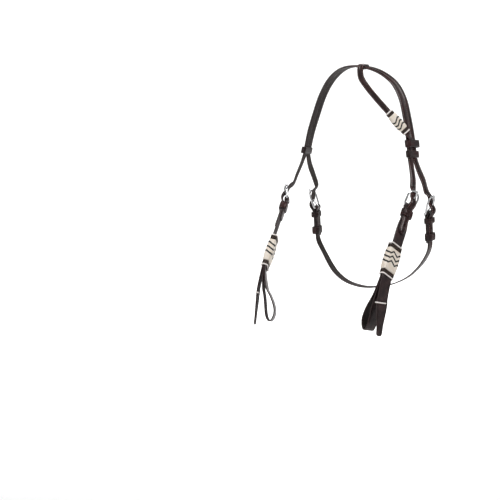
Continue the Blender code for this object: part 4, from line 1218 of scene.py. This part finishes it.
def add_stitch(shape, route, middle, leather, row_share):
    """One stitch, fat in the middle and dipping at its ends."""
    radius = leather.thread_radius
    rings = []
    for share, lift, fat in STITCH_SHARES:
        length = middle + share * leather.stitch_length
        section = route.between(route.steps[:, 6:9], length)
        rise = section[1] * STITCH_SEAT_SHARE
        ring = []
        for k in range(STITCH_SIDES):
            turn = math.tau * k / STITCH_SIDES
            across = row_share * section[0] / 2 + math.cos(turn) * radius * fat * STITCH_SPREAD
            out = rise + lift * radius + math.sin(turn) * radius * fat
            ring.append(shape.verts.new(route.spot_at(length, across, out)))
        rings.append(ring)
    for ring, following in zip(rings, rings[1:]):
        join_rings(shape, ring, following)
    shape.faces.new(rings[0])
    shape.faces.new(rings[-1])


class CrownOperator(bpy.types.Operator):
    """Makes the crown: two raised strands over the top, each ending in two billets, with its sewing."""

    bl_idname = "headstall.crown"
    bl_label = "Crown and billets"

    def execute(self, context):
        front = (REAR_STRAND_WIDTH / 2, FRONT_STRAND_WIDTH)
        rear = (-FRONT_STRAND_WIDTH / 2, REAR_STRAND_WIDTH)
        rows = (
            ("front", "cheek", CHEEK, CHEEK_BILLET_BELOW, CHEEK_BILLET_RUN, *front, CHEEK_HOLE_BELOW),
            ("rear", "throat", THROAT, THROAT_BILLET_BELOW, THROAT_BILLET_RUN, *rear, THROAT_HOLE_BELOW),
        )
        tip = BILLET_WIDTH * TIP_LENGTH_SHARE
        for name, kind, sizes, below, run, shift, width, hole in rows:
            route = strand_route(kind, sizes, below, run, shift, width)
            body = fine_strap(f"crown_{name}_strand", route, RAISED_SHARES, leather_paints("brown"))
            cut_out(body, billet_cutters(kind, sizes, hole))
            fit(body, ROOT, "dark_brown_leather", "crown_strap")
            sewing = stitch_rows(f"crown_{name}_stitches", route, tip, route.lengths[-1] - tip)
            fit(sewing, ROOT, "dark_brown_leather")
        return {"FINISHED"}


def chape_stations(place, sizes, return_length, width):
    """Stations of a strap's end folded round a heel bar, from the hidden end to below the bar."""
    flat, wire = sizes.thickness, sizes.wire
    found = [
        station(place.at(0, -down, -sizes.layer_low), -place.out, width, flat, flat)
        for down in (return_length, return_length / 2, 6 * wire, 4 * wire)
    ]
    for angle in (-110, -70, -35, 0, 35, 70, 110):
        up, out = math.cos(math.radians(angle)), math.sin(math.radians(angle))
        spot = place.at(0, sizes.fold_inner * up, sizes.fold_inner * out)
        found.append(station(spot, place.turned(up, out), width, flat, flat))
    for down in (4 * wire, 6 * wire):
        found.append(station(place.at(0, -down, sizes.layer_low), place.out, width, flat, flat))
    return found


def chape_cutter(name, place, sizes):
    """The slot in the fold that the tongue's ring turns in."""
    reach = sizes.fold_inner + sizes.thickness + CHAPE_SLOT_ROOM
    below = 3 * sizes.wire
    matrix = place.matrix() @ Matrix.Translation((0, (reach - below) / 2, 0))
    return box_cutter(name, (TONGUE_SLOT_WIDTH, reach + below, 2 * reach), matrix)


def bit_end_places(word):
    """The cheek strap's place, and the one that hangs below its straight stretch."""
    cheek = heel_place(word, "cheek")
    corner = cheek.at(0, -CHEEK_STRAIGHT - BIT_BEND_ROOM, 0)
    return cheek, Place(corner, (0, math.sin(BIT_HANG_LEAN), math.cos(BIT_HANG_LEAN)), cheek.out)


def cheek_route(word):
    """The cheek strap: folded round its buckle's heel bar, straight, then hanging as a tapered tab."""
    cheek, hang = bit_end_places(word)
    flat, low = CHEEK_THICKNESS, CHEEK.layer_low
    stations = chape_stations(cheek, CHEEK, CHEEK_RETURN_LENGTH, CHEEK_CHAPE_WIDTH)
    runs = (
        (CHEEK_KEEPER_NEAR + CHEEK_KEEPER_LENGTH, CHEEK_KEEPER_WIDTH),
        (CHEEK_RETURN_LENGTH, CHEEK_WIDTH),
        (CHEEK_STRAIGHT - CHEEK_KNOT_LENGTH, CHEEK_WIDTH),
        (CHEEK_STRAIGHT - CHEEK_BAND_LENGTH, CHEEK_WIDTH),
        (CHEEK_STRAIGHT - KNOT_END_ROOM, CHEEK_WIDTH),
        (CHEEK_STRAIGHT, CHEEK_WIDTH),
    )
    stations += [station(cheek.at(0, -down, low), cheek.out, width, flat, flat) for down, width in runs]
    tip = BIT_TAB_TIP_WIDTH * TIP_LENGTH_SHARE
    tapers = (
        (BIT_BEND_ROOM, (CHEEK_WIDTH + BIT_TAB_SHOULDER_WIDTH) / 2),
        (BIT_LACE_DROP, BIT_TAB_SHOULDER_WIDTH),
        ((2 * BIT_LACE_DROP + BIT_TAB_LENGTH) / 3, (2 * BIT_TAB_SHOULDER_WIDTH + BIT_TAB_TIP_WIDTH) / 3),
        ((BIT_LACE_DROP + 2 * BIT_TAB_LENGTH) / 3, (BIT_TAB_SHOULDER_WIDTH + 7 * BIT_TAB_TIP_WIDTH) / 8),
    )
    stations += [station(hang.at(0, -down, low), hang.out, width, flat, flat) for down, width in tapers]
    for along, share in reversed(TIP_SHARES):
        spot = hang.at(0, tip * along - BIT_TAB_LENGTH, low)
        stations.append(station(spot, hang.out, BIT_TAB_TIP_WIDTH * share, flat, flat))
    return Route(stations, FINE_SPACING)


def bit_loop_route(word):
    """The inner ply: down behind the tab, round the bit's place and up again into the knot."""
    cheek, hang = bit_end_places(word)
    flat, width = BIT_PLY_THICKNESS, BIT_PLY_WIDTH
    first = -GAP
    second = first - 2 * flat - GAP
    downs = (
        CHEEK_STRAIGHT - CHEEK_KNOT_LENGTH + CHEEK_BAND_LENGTH, CHEEK_STRAIGHT - CHEEK_BAND_LENGTH,
        CHEEK_STRAIGHT - KNOT_END_ROOM, CHEEK_STRAIGHT,
    )
    stations = [station(cheek.at(0, -down, first), cheek.out, width, flat, flat) for down in downs]
    middles = [
        (-share * BIT_LOOP_DEPTH + first, -down * BIT_LOOP_LENGTH) for share, down in BIT_LOOP_SHARES
    ]
    for i, (out, up) in enumerate(middles):
        before = middles[max(i - 1, 0)]
        after = middles[min(i + 1, len(middles) - 1)]
        run = Vector((after[0] - before[0], after[1] - before[1])).normalized()
        stations.append(station(hang.at(0, up, out), hang.turned(run.x, -run.y), width, flat, flat))
    for down in reversed(downs):
        stations.append(station(cheek.at(0, -down, second), -cheek.out, width, flat, flat))
    return Route(stations, FINE_SPACING)


def lace_hole(side):
    """Across the tab, the lace's hole and its bend round the front edge."""
    hole = side * BIT_TAB_SHOULDER_WIDTH * LACE_HOLE_SHARE
    return hole, -side * (BIT_TAB_SHOULDER_WIDTH / 2 + GAP + LACE_RADIUS)


class CheekOperator(bpy.types.Operator):
    """Makes both cheek straps with their tabs, and the inner plies that loop round the bit's place."""

    bl_idname = "headstall.cheek_straps"
    bl_label = "Cheek straps"

    def execute(self, context):
        for side, word in SIDES:
            cheek, hang = bit_end_places(word)
            paints = leather_paints("cheek")
            tab = fine_strap(f"{word}_cheek_leather", cheek_route(word), FLAT_SHARES, paints)
            turn = Matrix.Translation((lace_hole(side)[0], -BIT_LACE_DROP, 0))
            hole = round_cutter(
                "lace_hole", LACE_RADIUS + 2 * GAP, 4 * CHEEK_THICKNESS, hang.matrix() @ turn
            )
            cut_out(tab, [chape_cutter("chape", cheek, CHEEK), hole])
            fit(tab, ROOT, "charcoal_leather", f"{word}_cheek_strap")
            route = bit_loop_route(word)
            ply = fine_strap(f"{word}_bit_ply", route, FLAT_SHARES, paints, lift=-BIT_PLY_THICKNESS)
            fit(ply, ROOT, "charcoal_leather", f"{word}_bit_loop")
        return {"FINISHED"}


def cord_piece(name, place, up, outline, radius):
    """A closed pale hide cord round a flat outline."""
    points = [place.at(row[0], up, row[1]) for row in outline]
    return tube_piece(name, points, radius + CORD_EXTRA, place.up, paint_of("lace"), CORD_SIDES, closed=True)


class LaceOperator(bpy.types.Operator):
    """Makes the pale lace through each tab's hole and round its front edge."""

    bl_idname = "headstall.bit_laces"
    bl_label = "Bit laces"

    def execute(self, context):
        low = CHEEK.layer_low - GAP - LACE_RADIUS
        high = CHEEK.layer_high + GAP + LACE_RADIUS
        for side, word in SIDES:
            hang = bit_end_places(word)[1]
            hole, edge = lace_hole(side)
            outline = [
                (row[0] + (hole + edge) / 2, row[1])
                for row in rounded_rows(abs(hole - edge) / 2, low, high, 2 * LACE_RADIUS, CORD_SPACING)
            ]
            lace = cord_piece(f"{word}_white_lace", hang, -BIT_LACE_DROP, outline, LACE_RADIUS)
            fit(lace, ROOT, "lace_hide", f"{word}_bit_lace")
        return {"FINISHED"}


class ThroatOperator(bpy.types.Operator):
    """Makes the throatlatch: folded round both throat buckles' heel bars, with a hanging loop between."""

    bl_idname = "headstall.throatlatch"
    bl_label = "Throatlatch"

    def execute(self, context):
        flat, width = THROAT_THICKNESS, THROAT_WIDTH
        halves, cutters = [], []
        for side, word in SIDES:
            place = heel_place(word, "throat")
            stations = chape_stations(place, THROAT, THROAT_RETURN_LENGTH, width)
            for share in THROAT_STRAIGHT_SHARES:
                spot = place.at(0, -share * THROAT_STRAIGHT, THROAT.layer_low)
                stations.append(station(spot, place.out, width, flat, flat))
            end = place.at(0, -THROAT_STRAIGHT, THROAT.layer_low)
            for out, back, down, normal_out, normal_down in THROAT_LOOP_SHARES:
                spot = (out * end.x, back * end.y, end.z - down * THROAT_LOOP_DROP)
                stations.append(station(spot, (side * normal_out, 0, normal_down), width, flat, flat))
            halves.append(stations)
            cutters.append(chape_cutter(f"{word}_chape", place, THROAT))
        left, right = halves
        route = Route(left + right[:-1][::-1], FINE_SPACING)
        body = fine_strap("throatlatch_leather", route, FLAT_SHARES, leather_paints("brown"))
        cut_out(body, cutters)
        fit(body, ROOT, "dark_brown_leather", "throat_strap")
        return {"FINISHED"}


def ear_spot(out, forward, down):
    return Vector((out * CROWN_HALF_WIDTH, -forward * CROWN_SET_BACK, -down * FORK_DROP))


def ear_wrap(place):
    """Where the ear strap goes round the crown: from the front edge over it, and back underneath."""
    half = (FRONT_STRAND_WIDTH + REAR_STRAND_WIDTH) / 2
    slope = EAR_FOLD_THICKNESS
    inset = half - slope - GAP
    over = CROWN_CREST + GAP
    rear = place.across
    under = -2 * GAP
    return (
        (place.at(-inset, 0, over), place.out), (place.at(0, 0, over + GAP), place.out),
        (place.at(inset, 0, over), place.out),
        (place.at(half - GAP, 0, over - slope / 2), place.out + rear),
        (place.at(half + GAP + GAP, 0, CROWN_EDGE / 2), rear),
        (place.at(half - GAP, 0, under), rear - place.out),
        (place.at(inset, 0, under), -place.out), (place.at(0, 0, under), -place.out),
        (place.at(slope - inset, 0, under), -place.out), (place.at(-inset, 0, under), -place.out),
    )


def ear_knot_ends():
    return ear_spot(*EAR_KNOT_START_SHARES), ear_spot(*EAR_KNOT_END_SHARES)


def ear_knot_place():
    start, end = ear_knot_ends()
    return Place((start + end) / 2, start - end, EAR_KNOT_NORMAL_SHARES)


def ear_route():
    """The ear strap: folded round the crown near its top, and laid on it again above the left fork."""
    thin = EAR_FOLD_THICKNESS
    above = crown_place(1, crown_route().lengths[-1] / 2 - EAR_UPPER_LOOP_OUT)
    below = crown_place(1, EAR_LOWER_LOOP_ABOVE)
    knot_place = ear_knot_place()
    edge = -(FRONT_STRAND_WIDTH + REAR_STRAND_WIDTH) / 2
    start, end = ear_knot_ends()
    reach = (start - end).length / 2

    def folded(spot, normal):
        return station(spot, normal, EAR_WIDTH, thin, thin)

    def raised(spot, normal):
        return station(spot, normal, EAR_WIDTH, EAR_EDGE, EAR_CREST)

    free = [(ear_spot(*row[:3]), Vector(row[3:]).normalized()) for row in EAR_SHARES]
    under = [(spot - normal * 2 * GAP, -normal) for spot, normal in free]
    stations = [folded((under[0][0] * 2 + under[1][0]) / 3, under[0][1]), folded(*under[0])]
    stations.append(folded(above.at(edge - thin / 2, 0, -1.6 * thin), above.across - 2 * above.out))
    stations += [folded(*pair) for pair in reversed(ear_wrap(above))]
    stations.append(raised(above.at(edge - thin, 0, thin), above.out - above.across))
    stations += [raised(*pair) for pair in free]
    for share in EAR_KNOT_WAY_SHARES:
        stations.append(raised(knot_place.at(0, share * reach, 0), knot_place.out))
    rest = CROWN_CREST + 2 * GAP
    for across_share, down_share in EAR_END_SHARES:
        spot = below.at(across_share * edge, -down_share * EAR_LOOP_LENGTH, rest)
        stations.append(folded(spot, below.out))
    return Route(stations, FINE_SPACING)


class EarOperator(bpy.types.Operator):
    """Makes the ear strap with its sewing."""

    bl_idname = "headstall.ear_strap"
    bl_label = "Ear strap"

    def execute(self, context):
        route = ear_route()
        body = fine_strap("ear_strap_leather", route, RAISED_SHARES, leather_paints("brown"))
        fit(body, ROOT, "dark_brown_leather", "ear_strap")
        end = route.lengths[-1] - EAR_SEAM_MARGIN
        fit(stitch_rows("ear_strap_stitches", route, EAR_SEAM_MARGIN, end), ROOT, "dark_brown_leather")
        return {"FINISHED"}


def keeper_piece(name, place, near, length, half_width, low, high):
    """A leather loop round the strap: rounded edges and a pressed line beside each."""
    wall, half, rim, line, reach = KEEPER_WALL, length / 2, KEEPER_RIM, KEEPER_LINE, KEEPER_LINE_REACH
    outer = (
        (1.0, rim * 0.3, EDGE), (1.0, wall - rim * 0.7, EDGE),
        (1 - rim * 0.4 / half, wall - rim * 0.2, GRAIN), (1 - rim / half, wall, GRAIN),
        (1 - (line - reach) / half, wall, GRAIN), (1 - line / half, wall - KEEPER_LINE_DEPTH, GRAIN),
        (1 - (line + reach) / half, wall, GRAIN), (0.35, wall + KEEPER_SWELLS[0], GRAIN),
    )
    rows = [(up * half, off, up) for up, off, _ in outer]
    rows += [(0.0, wall + KEEPER_SWELLS[1], 0.0)]
    rows += [(-up * half, off, -up) for up, off, _ in reversed(outer)]
    rows += [(-(half - rim * 0.7), 0.0, -0.9), (0.0, 0.0, 0.0), (half - rim * 0.7, 0.0, 0.9)]
    side_zones = [row[2] for row in outer[:-1]]
    zones = side_zones + [GRAIN, GRAIN] + side_zones[::-1] + [EDGE, FLESH, FLESH, EDGE]
    corner = min(KEEPER_CORNER, (high - low) / 3)
    outline = rounded_rows(half_width, low, high, corner, KEEPER_SPACING)
    return sleeve(name, place, -near - half, outline, lambda around: rows, leather_paints("brown"), zones)


class KeeperOperator(bpy.types.Operator):
    """Makes the fixed keepers, the split keepers, the ear strap's lower loop and the two sliding keepers."""

    bl_idname = "headstall.keepers"
    bl_label = "Keepers"

    def execute(self, context):
        crown_half = (FRONT_STRAND_WIDTH + REAR_STRAND_WIDTH) / 2
        cheek_high = CHEEK.billet_low + BILLET_CREST + KEEPER_HEAD_ROOM
        throat_high = THROAT.billet_low + BILLET_CREST + KEEPER_HEAD_ROOM
        round_cheek = (CHEEK_KEEPER_WIDTH / 2 + GAP, -CHEEK.layer_high - GAP, cheek_high)
        round_throat = (THROAT_WIDTH / 2 + MOVING_GAP, -THROAT.layer_high - MOVING_GAP, throat_high)
        round_crown = (crown_half + GAP, -GAP, CROWN_CREST + GAP)
        round_ear = (crown_half + 3 * GAP, -2 * GAP, CROWN_CREST + EAR_FOLD_THICKNESS + 5 * GAP)
        on_cheek = (CHEEK_KEEPER_NEAR, CHEEK_KEEPER_LENGTH, *round_cheek)
        on_throat = (THROAT_KEEPER_NEAR, THROAT_KEEPER_LENGTH, *round_throat)
        rows = []
        for side, word in SIDES:
            cheek, throat = heel_place(word, "cheek"), heel_place(word, "throat")
            split, slider = crown_place(side, SPLIT_KEEPER_LENGTH + GAP), f"{word}_throat_slider"
            rows += [
                (f"{word}_cheek_keeper", ROOT, cheek, *on_cheek),
                (f"{word}_throat_keeper", ROOT, throat, *on_throat),
                (slider, slider, throat, SLIDER_NEAR, SLIDER_LENGTH, *round_throat),
                (f"{word}_split_keeper", ROOT, split, 0, SPLIT_KEEPER_LENGTH, *round_crown),
            ]
        lower = crown_place(1, EAR_LOWER_LOOP_ABOVE + EAR_LOOP_LENGTH / 2)
        rows.append(("ear_lower_loop", ROOT, lower, 0, EAR_LOOP_LENGTH, *round_ear))
        for node, body, *sizes in rows:
            fit(keeper_piece(f"{node}_leather", *sizes), body, "dark_brown_leather", node)
        return {"FINISHED"}


def tongue_points(sizes):
    """The tongue's middle line, as (up, out): round the heel bar, up through the slot and over the bar."""
    ring = sizes.wire + MOVING_GAP + TONGUE_RADIUS
    leave = math.degrees(TONGUE_RISE) - 90
    points = []
    for k in range(TONGUE_RING_STEPS + 1):
        angle = math.radians(leave - TONGUE_RING_TURN + TONGUE_RING_TURN * k / TONGUE_RING_STEPS)
        points.append((ring * math.cos(angle), ring * math.sin(angle)))
    start = tongue_leave(sizes)
    rest = sizes.wire + GAP + TONGUE_RADIUS
    over = (
        sizes.outer_up - rest * math.sin(BUCKLE_TILT), sizes.outer_out + rest * math.cos(BUCKLE_TILT),
    )
    slope, rise = math.tan(BUCKLE_TILT / 2), math.tan(TONGUE_RISE)
    bend = (start[1] - over[1] + slope * over[0] - rise * start[0]) / (slope - rise)
    bend_out = start[1] + rise * (bend - start[0])
    soften = 2 * TONGUE_RADIUS
    points += [
        (bend - soften * math.cos(TONGUE_RISE), bend_out - soften * math.sin(TONGUE_RISE)),
        (bend, bend_out - soften / 5),
        (bend + soften, bend_out + slope * soften),
        over,
        (over[0] + TONGUE_OVERHANG, over[1] + slope * TONGUE_OVERHANG),
    ]
    return points


def frame_points(sizes):
    """The buckle frame's middle line: straight heel and outer bars, bowed sides, round corners."""
    half, wire = sizes.half_inside + sizes.wire, sizes.wire
    heel, outer = 1.5 * wire, 4 * wire
    corner = [
        (half - heel, 0), (half - heel / 3, heel / 3), (half, heel), (half + wire / 2, sizes.length / 3),
        (half + wire, sizes.length - 1.6 * outer), (half + wire / 2, sizes.length - outer),
        (half - outer / 4, sizes.length - outer / 3), (half - outer, sizes.length),
    ]
    return corner + [(-x, y) for x, y in reversed(corner)]


class BuckleOperator(bpy.types.Operator):
    """Makes the four buckles: polished frames and tongues that turn on their heel bars."""

    bl_idname = "headstall.buckles"
    bl_label = "Buckles"

    def execute(self, context):
        steel = paint_of("steel")
        up, out = math.cos(BUCKLE_TILT), math.sin(BUCKLE_TILT)
        for _, word in SIDES:
            for kind, sizes in (("cheek", CHEEK), ("throat", THROAT)):
                place = heel_place(word, kind)
                name = f"{word}_{kind}_buckle"
                spots = [place.at(x, y * up, y * out) for x, y in frame_points(sizes)]
                spots = smooth_rows(spots, FRAME_SPACING, closed=True)
                plane = place.turned(-out, up)
                bar = tube_piece(f"{name}_bar", spots, sizes.wire, plane, steel, FRAME_SIDES, closed=True)
                fit(bar, f"{word}_{kind}_frame", "polished_steel", f"{name}_frame")
                spots = [place.at(0, *point) for point in tongue_points(sizes)]
                spots = smooth_rows(spots, TONGUE_SPACING)
                prong = tube_piece(f"{name}_prong", spots, TONGUE_RADIUS, place.across, steel, TONGUE_SIDES)
                fit(prong, f"{word}_{kind}_tongue", "polished_steel", f"{name}_tongue")
        return {"FINISHED"}


def braid_rise(weave, around, up):
    """How high a zigzag strand stands there: rounded across it, and a little fuller halfway up its legs."""
    own_up = weave.own_up(around, up)
    round_top = math.sqrt(max(0.0, 1 - abs(2 * weave.off_strand(own_up)) ** 2.4))
    dark = weave.off_dark(own_up) < weave.dark_reach and abs(own_up) < weave.dark_end
    lozenge = 0.70 + 0.30 * math.sin(math.pi * weave.zigzag(around))
    return round_top * (1.1 if dark else lozenge)


def swell(share):
    """The share of its full bulge that a knot has, from its middle at 0 to its ends at 1 and -1."""
    return 0.12 + 0.88 * (1 - abs(share) ** 3.0) ** 0.8


def braid_rows(weave, reach):
    """The braid's section at each length round it."""
    steps = max(8, round(2 * reach / BRAID_SPACING))

    def rows_at(around):
        rows = []
        for k in range(steps + 1):
            up = reach - 2 * reach * k / steps
            share = up / reach
            rise = braid_rise(weave, around, up)
            end_share = min(1.0, (1 - abs(share)) * reach / BRAID_END)
            off = KNOT_WALL + swell(share) * KNOT_BULGE - BRAID_SINK + rise * BRAID_RELIEF * end_share
            rows.append((up, off, up))
        return rows + [(-reach, 0.0, -reach), (0.0, 0.0, 0.0), (reach, 0.0, reach)]

    return rows_at


def band_rows(weave):
    """The end band's section at each length round it."""
    band = weave.band
    steps = max(6, round(band / BAND_SPACING))

    def rows_at(around):
        rows = []
        for k in range(steps + 1):
            up = band / 2 - band * k / steps
            rise = max(weave.band_strands(around, up)) ** 1.5 - 0.3
            edge = math.sqrt(max(0.0, 1 - abs(2 * up / band) ** 6))
            off = (BAND_WALL - BAND_SINK) * (0.45 + 0.55 * edge) + BAND_RELIEF * rise * edge
            rows.append((up, off, up))
        return rows + [(-band / 2, 0.0, -band / 2), (band / 2, 0.0, band / 2)]

    return rows_at


def knot(name, kind, place, length, band, sleeve_size, braiding):
    """A braided rawhide knot: a swelling sleeve between two woven bands, with a thin ring at each end."""
    half_width, low, high = sleeve_size
    reach = length / 2 - 2 * RING_RADIUS - GAP - band - GAP
    outline = rounded_rows(half_width, low, high, KEEPER_CORNER / 2, KNOT_SPACING)
    weave = Weave(settings_of().knots, outline, band, *braiding)
    cream, dark = f"{kind}_cream_hide", f"{kind}_band_hide"
    cream = bpy.data.materials.get(cream) or cream_rawhide(cream, weave)
    dark = bpy.data.materials.get(dark) or dark_rawhide(dark, weave)
    braid = sleeve(f"{name}_braided_hide", place, 0.0, outline, braid_rows(weave, reach), [cream])
    fit(braid, ROOT, "cream_rawhide", f"{name}_braid")
    wrap = RING_RADIUS + GAP
    path = rounded_rows(half_width + wrap, low - wrap, high + wrap, KEEPER_CORNER + wrap, CORD_SPACING)
    for word, way in (("upper", 1), ("lower", -1)):
        band_up = way * (reach + GAP + band / 2)
        woven = sleeve(f"{name}_{word}_woven_band", place, band_up, outline, band_rows(weave), [dark])
        fit(woven, ROOT, "dark_rawhide", f"{name}_{word}_band")
        ring_up = way * (length / 2 - RING_RADIUS)
        ring = cord_piece(f"{name}_{word}_hide_ring", place, ring_up, path, RING_RADIUS)
        fit(ring, ROOT, "lace_hide", f"{name}_{word}_ring")


class KnotOperator(bpy.types.Operator):
    """Makes the braided knot on each cheek strap and the one on the ear strap."""

    bl_idname = "headstall.knots"
    bl_label = "Rawhide knots"

    def execute(self, context):
        round_cheek = (CHEEK_WIDTH / 2 + GAP, -3 * GAP - 2 * BIT_PLY_THICKNESS, CHEEK.layer_high + GAP)
        round_ear = (EAR_WIDTH / 2 + GAP, -GAP, EAR_CREST + GAP)
        middle = CHEEK_STRAIGHT - KNOT_END_ROOM - CHEEK_KNOT_LENGTH / 2
        rows = []
        for _, word in SIDES:
            cheek = heel_place(word, "cheek")
            place = Place(cheek.at(0, -middle, 0), cheek.up, cheek.out)
            rows.append((
                f"{word}_cheek_knot", "cheek", place, CHEEK_KNOT_LENGTH, CHEEK_BAND_LENGTH, round_cheek,
                CHEEK_BRAIDING,
            ))
        rows.append((
            "ear_knot", "ear", ear_knot_place(), EAR_KNOT_LENGTH, EAR_BAND_LENGTH, round_ear, EAR_BRAIDING,
        ))
        for row in rows:
            knot(*row)
        return {"FINISHED"}


def look_from(azimuth, elevation):
    """Which way the camera lies, and the view's right and up."""
    level = math.cos(elevation)
    back = Vector((math.sin(azimuth) * level, -math.cos(azimuth) * level, math.sin(elevation)))
    right = Vector((math.cos(azimuth), math.sin(azimuth), 0))
    return back, right, back.cross(right)


def soft_light(name, spot, aim, size, power, spread):
    """A round light this wide, which shines from the spot at its aim."""
    data = bpy.data.lights.new(name, "AREA")
    data.shape = "DISK"
    data.spread = math.radians(spread)
    data.size = size
    data.energy = power
    made = bpy.data.objects.new(name, data)
    made.location = spot
    made.rotation_euler = (aim - spot).to_track_quat("-Z", "Y").to_euler()
    bpy.context.scene.collection.objects.link(made)


def make_floor(drop):
    """The floor, which curves up all round into the wall."""
    shape = bmesh.new()
    rings = []
    for radius, height in FLOOR_BOWL:
        ring = []
        for k in range(FLOOR_SIDES):
            turn = math.tau * k / FLOOR_SIDES
            ring.append(shape.verts.new((radius * math.cos(turn), radius * math.sin(turn), height - drop)))
        rings.append(ring)
    for ring, following in zip(rings, rings[1:]):
        join_rings(shape, ring, following)
    shape.faces.new(rings[0])
    floor = new_piece("studio_floor", shape, [studio_white("studio_white", FLOOR_COLOUR)])


class StageOperator(bpy.types.Operator):
    """Makes the pale floor that curves up all round, the soft light and the camera."""

    bl_idname = "headstall.stage"
    bl_label = "Stage, light and camera"

    def execute(self, context):
        scene = context.scene
        stage = scene.headstall.stage
        make_floor(stage.floor_drop)
        world = bpy.data.worlds.new("studio_room")
        world.use_nodes = True
        room = world.node_tree.nodes["Background"]
        room.inputs[0].default_value = (1, 1, 1, 1)
        room.inputs[1].default_value = stage.world_strength
        scene.world = world
        back, right, up = look_from(stage.azimuth, stage.elevation)
        aim, high, key = Vector(LIGHT_AIM), Vector((0, 0, 1)), stage.key_power
        behind = Vector((-back.x, -back.y, 0))
        wall = behind * 4 - high * stage.floor_drop
        # Each light's name, spot, aim, width, power and spread in degrees
        lights = (
            ("key_light", aim + back * 1.6 + right * 1.3 + up * 1.5, aim, 0.9, key, 180),
            ("fill_light", aim + back * 1.6 - right * 1.9 + up * 0.4, aim, 1.4, key * 0.35, 180),
            ("backdrop_light", behind * 2.5 + high * 2.8, wall, 2.5, stage.backdrop_power, 120),
            ("top_light", aim + back * 0.3 - right * 0.9 + high * 2.6, aim, 0.8, key * 1.15, 180),
        )
        for light in lights:
            soft_light(*light)
        data = bpy.data.cameras.new("photo_view")
        data.lens = stage.lens
        data.sensor_width = SENSOR_WIDTH
        data.clip_end = FAR_CLIP
        camera = bpy.data.objects.new("photo_view", data)
        camera.location = back * stage.distance - right * stage.aside - up * stage.above
        camera.rotation_euler = (-back).to_track_quat("-Z", "Y").to_euler()
        scene.collection.objects.link(camera)
        scene.camera = camera
        scene.view_settings.view_transform = "Standard"
        return {"FINISHED"}


PIECES = (
    StageOperator, CrownOperator, EarOperator, CheekOperator, LaceOperator, ThroatOperator, KeeperOperator,
    BuckleOperator, KnotOperator,
)


class HeadstallSettings(bpy.types.PropertyGroup):
    """All settings of the headstall."""

    leather: bpy.props.PointerProperty(name="Leather", description="Strap leather", type=LeatherSettings)
    knots: bpy.props.PointerProperty(name="Knots", description="Rawhide knots", type=KnotSettings)
    metal: bpy.props.PointerProperty(name="Metal", description="Buckle metal", type=MetalSettings)
    stage: bpy.props.PointerProperty(name="Stage", description="Floor, light, camera", type=StageSettings)


class HeadstallPanel(bpy.types.Panel):
    """Lists the headstall's pieces and their settings."""

    bl_idname = "HEADSTALL_PT_pieces"
    bl_label = "One ear headstall"
    bl_space_type = "VIEW_3D"
    bl_region_type = "UI"
    bl_category = "Headstall"

    def draw(self, context):
        layout = self.layout
        for piece in PIECES:
            layout.operator(piece.bl_idname)
        settings = context.scene.headstall
        for group in (settings.leather, settings.knots, settings.metal, settings.stage):
            box = layout.box()
            for name in group.__annotations__:
                box.prop(group, name)


CLASSES = (
    LeatherSettings, KnotSettings, MetalSettings, StageSettings, HeadstallSettings, *PIECES, HeadstallPanel,
)


def register():
    for each in CLASSES:
        bpy.utils.register_class(each)
    bpy.types.Scene.headstall = bpy.props.PointerProperty(type=HeadstallSettings)


def unregister():
    del bpy.types.Scene.headstall
    for each in reversed(CLASSES):
        bpy.utils.unregister_class(each)


def main():
    register()
    for piece in PIECES:
        group, name = piece.bl_idname.split(".")
        getattr(getattr(bpy.ops, group), name)()
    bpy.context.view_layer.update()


if __name__ == "__main__":
    main()
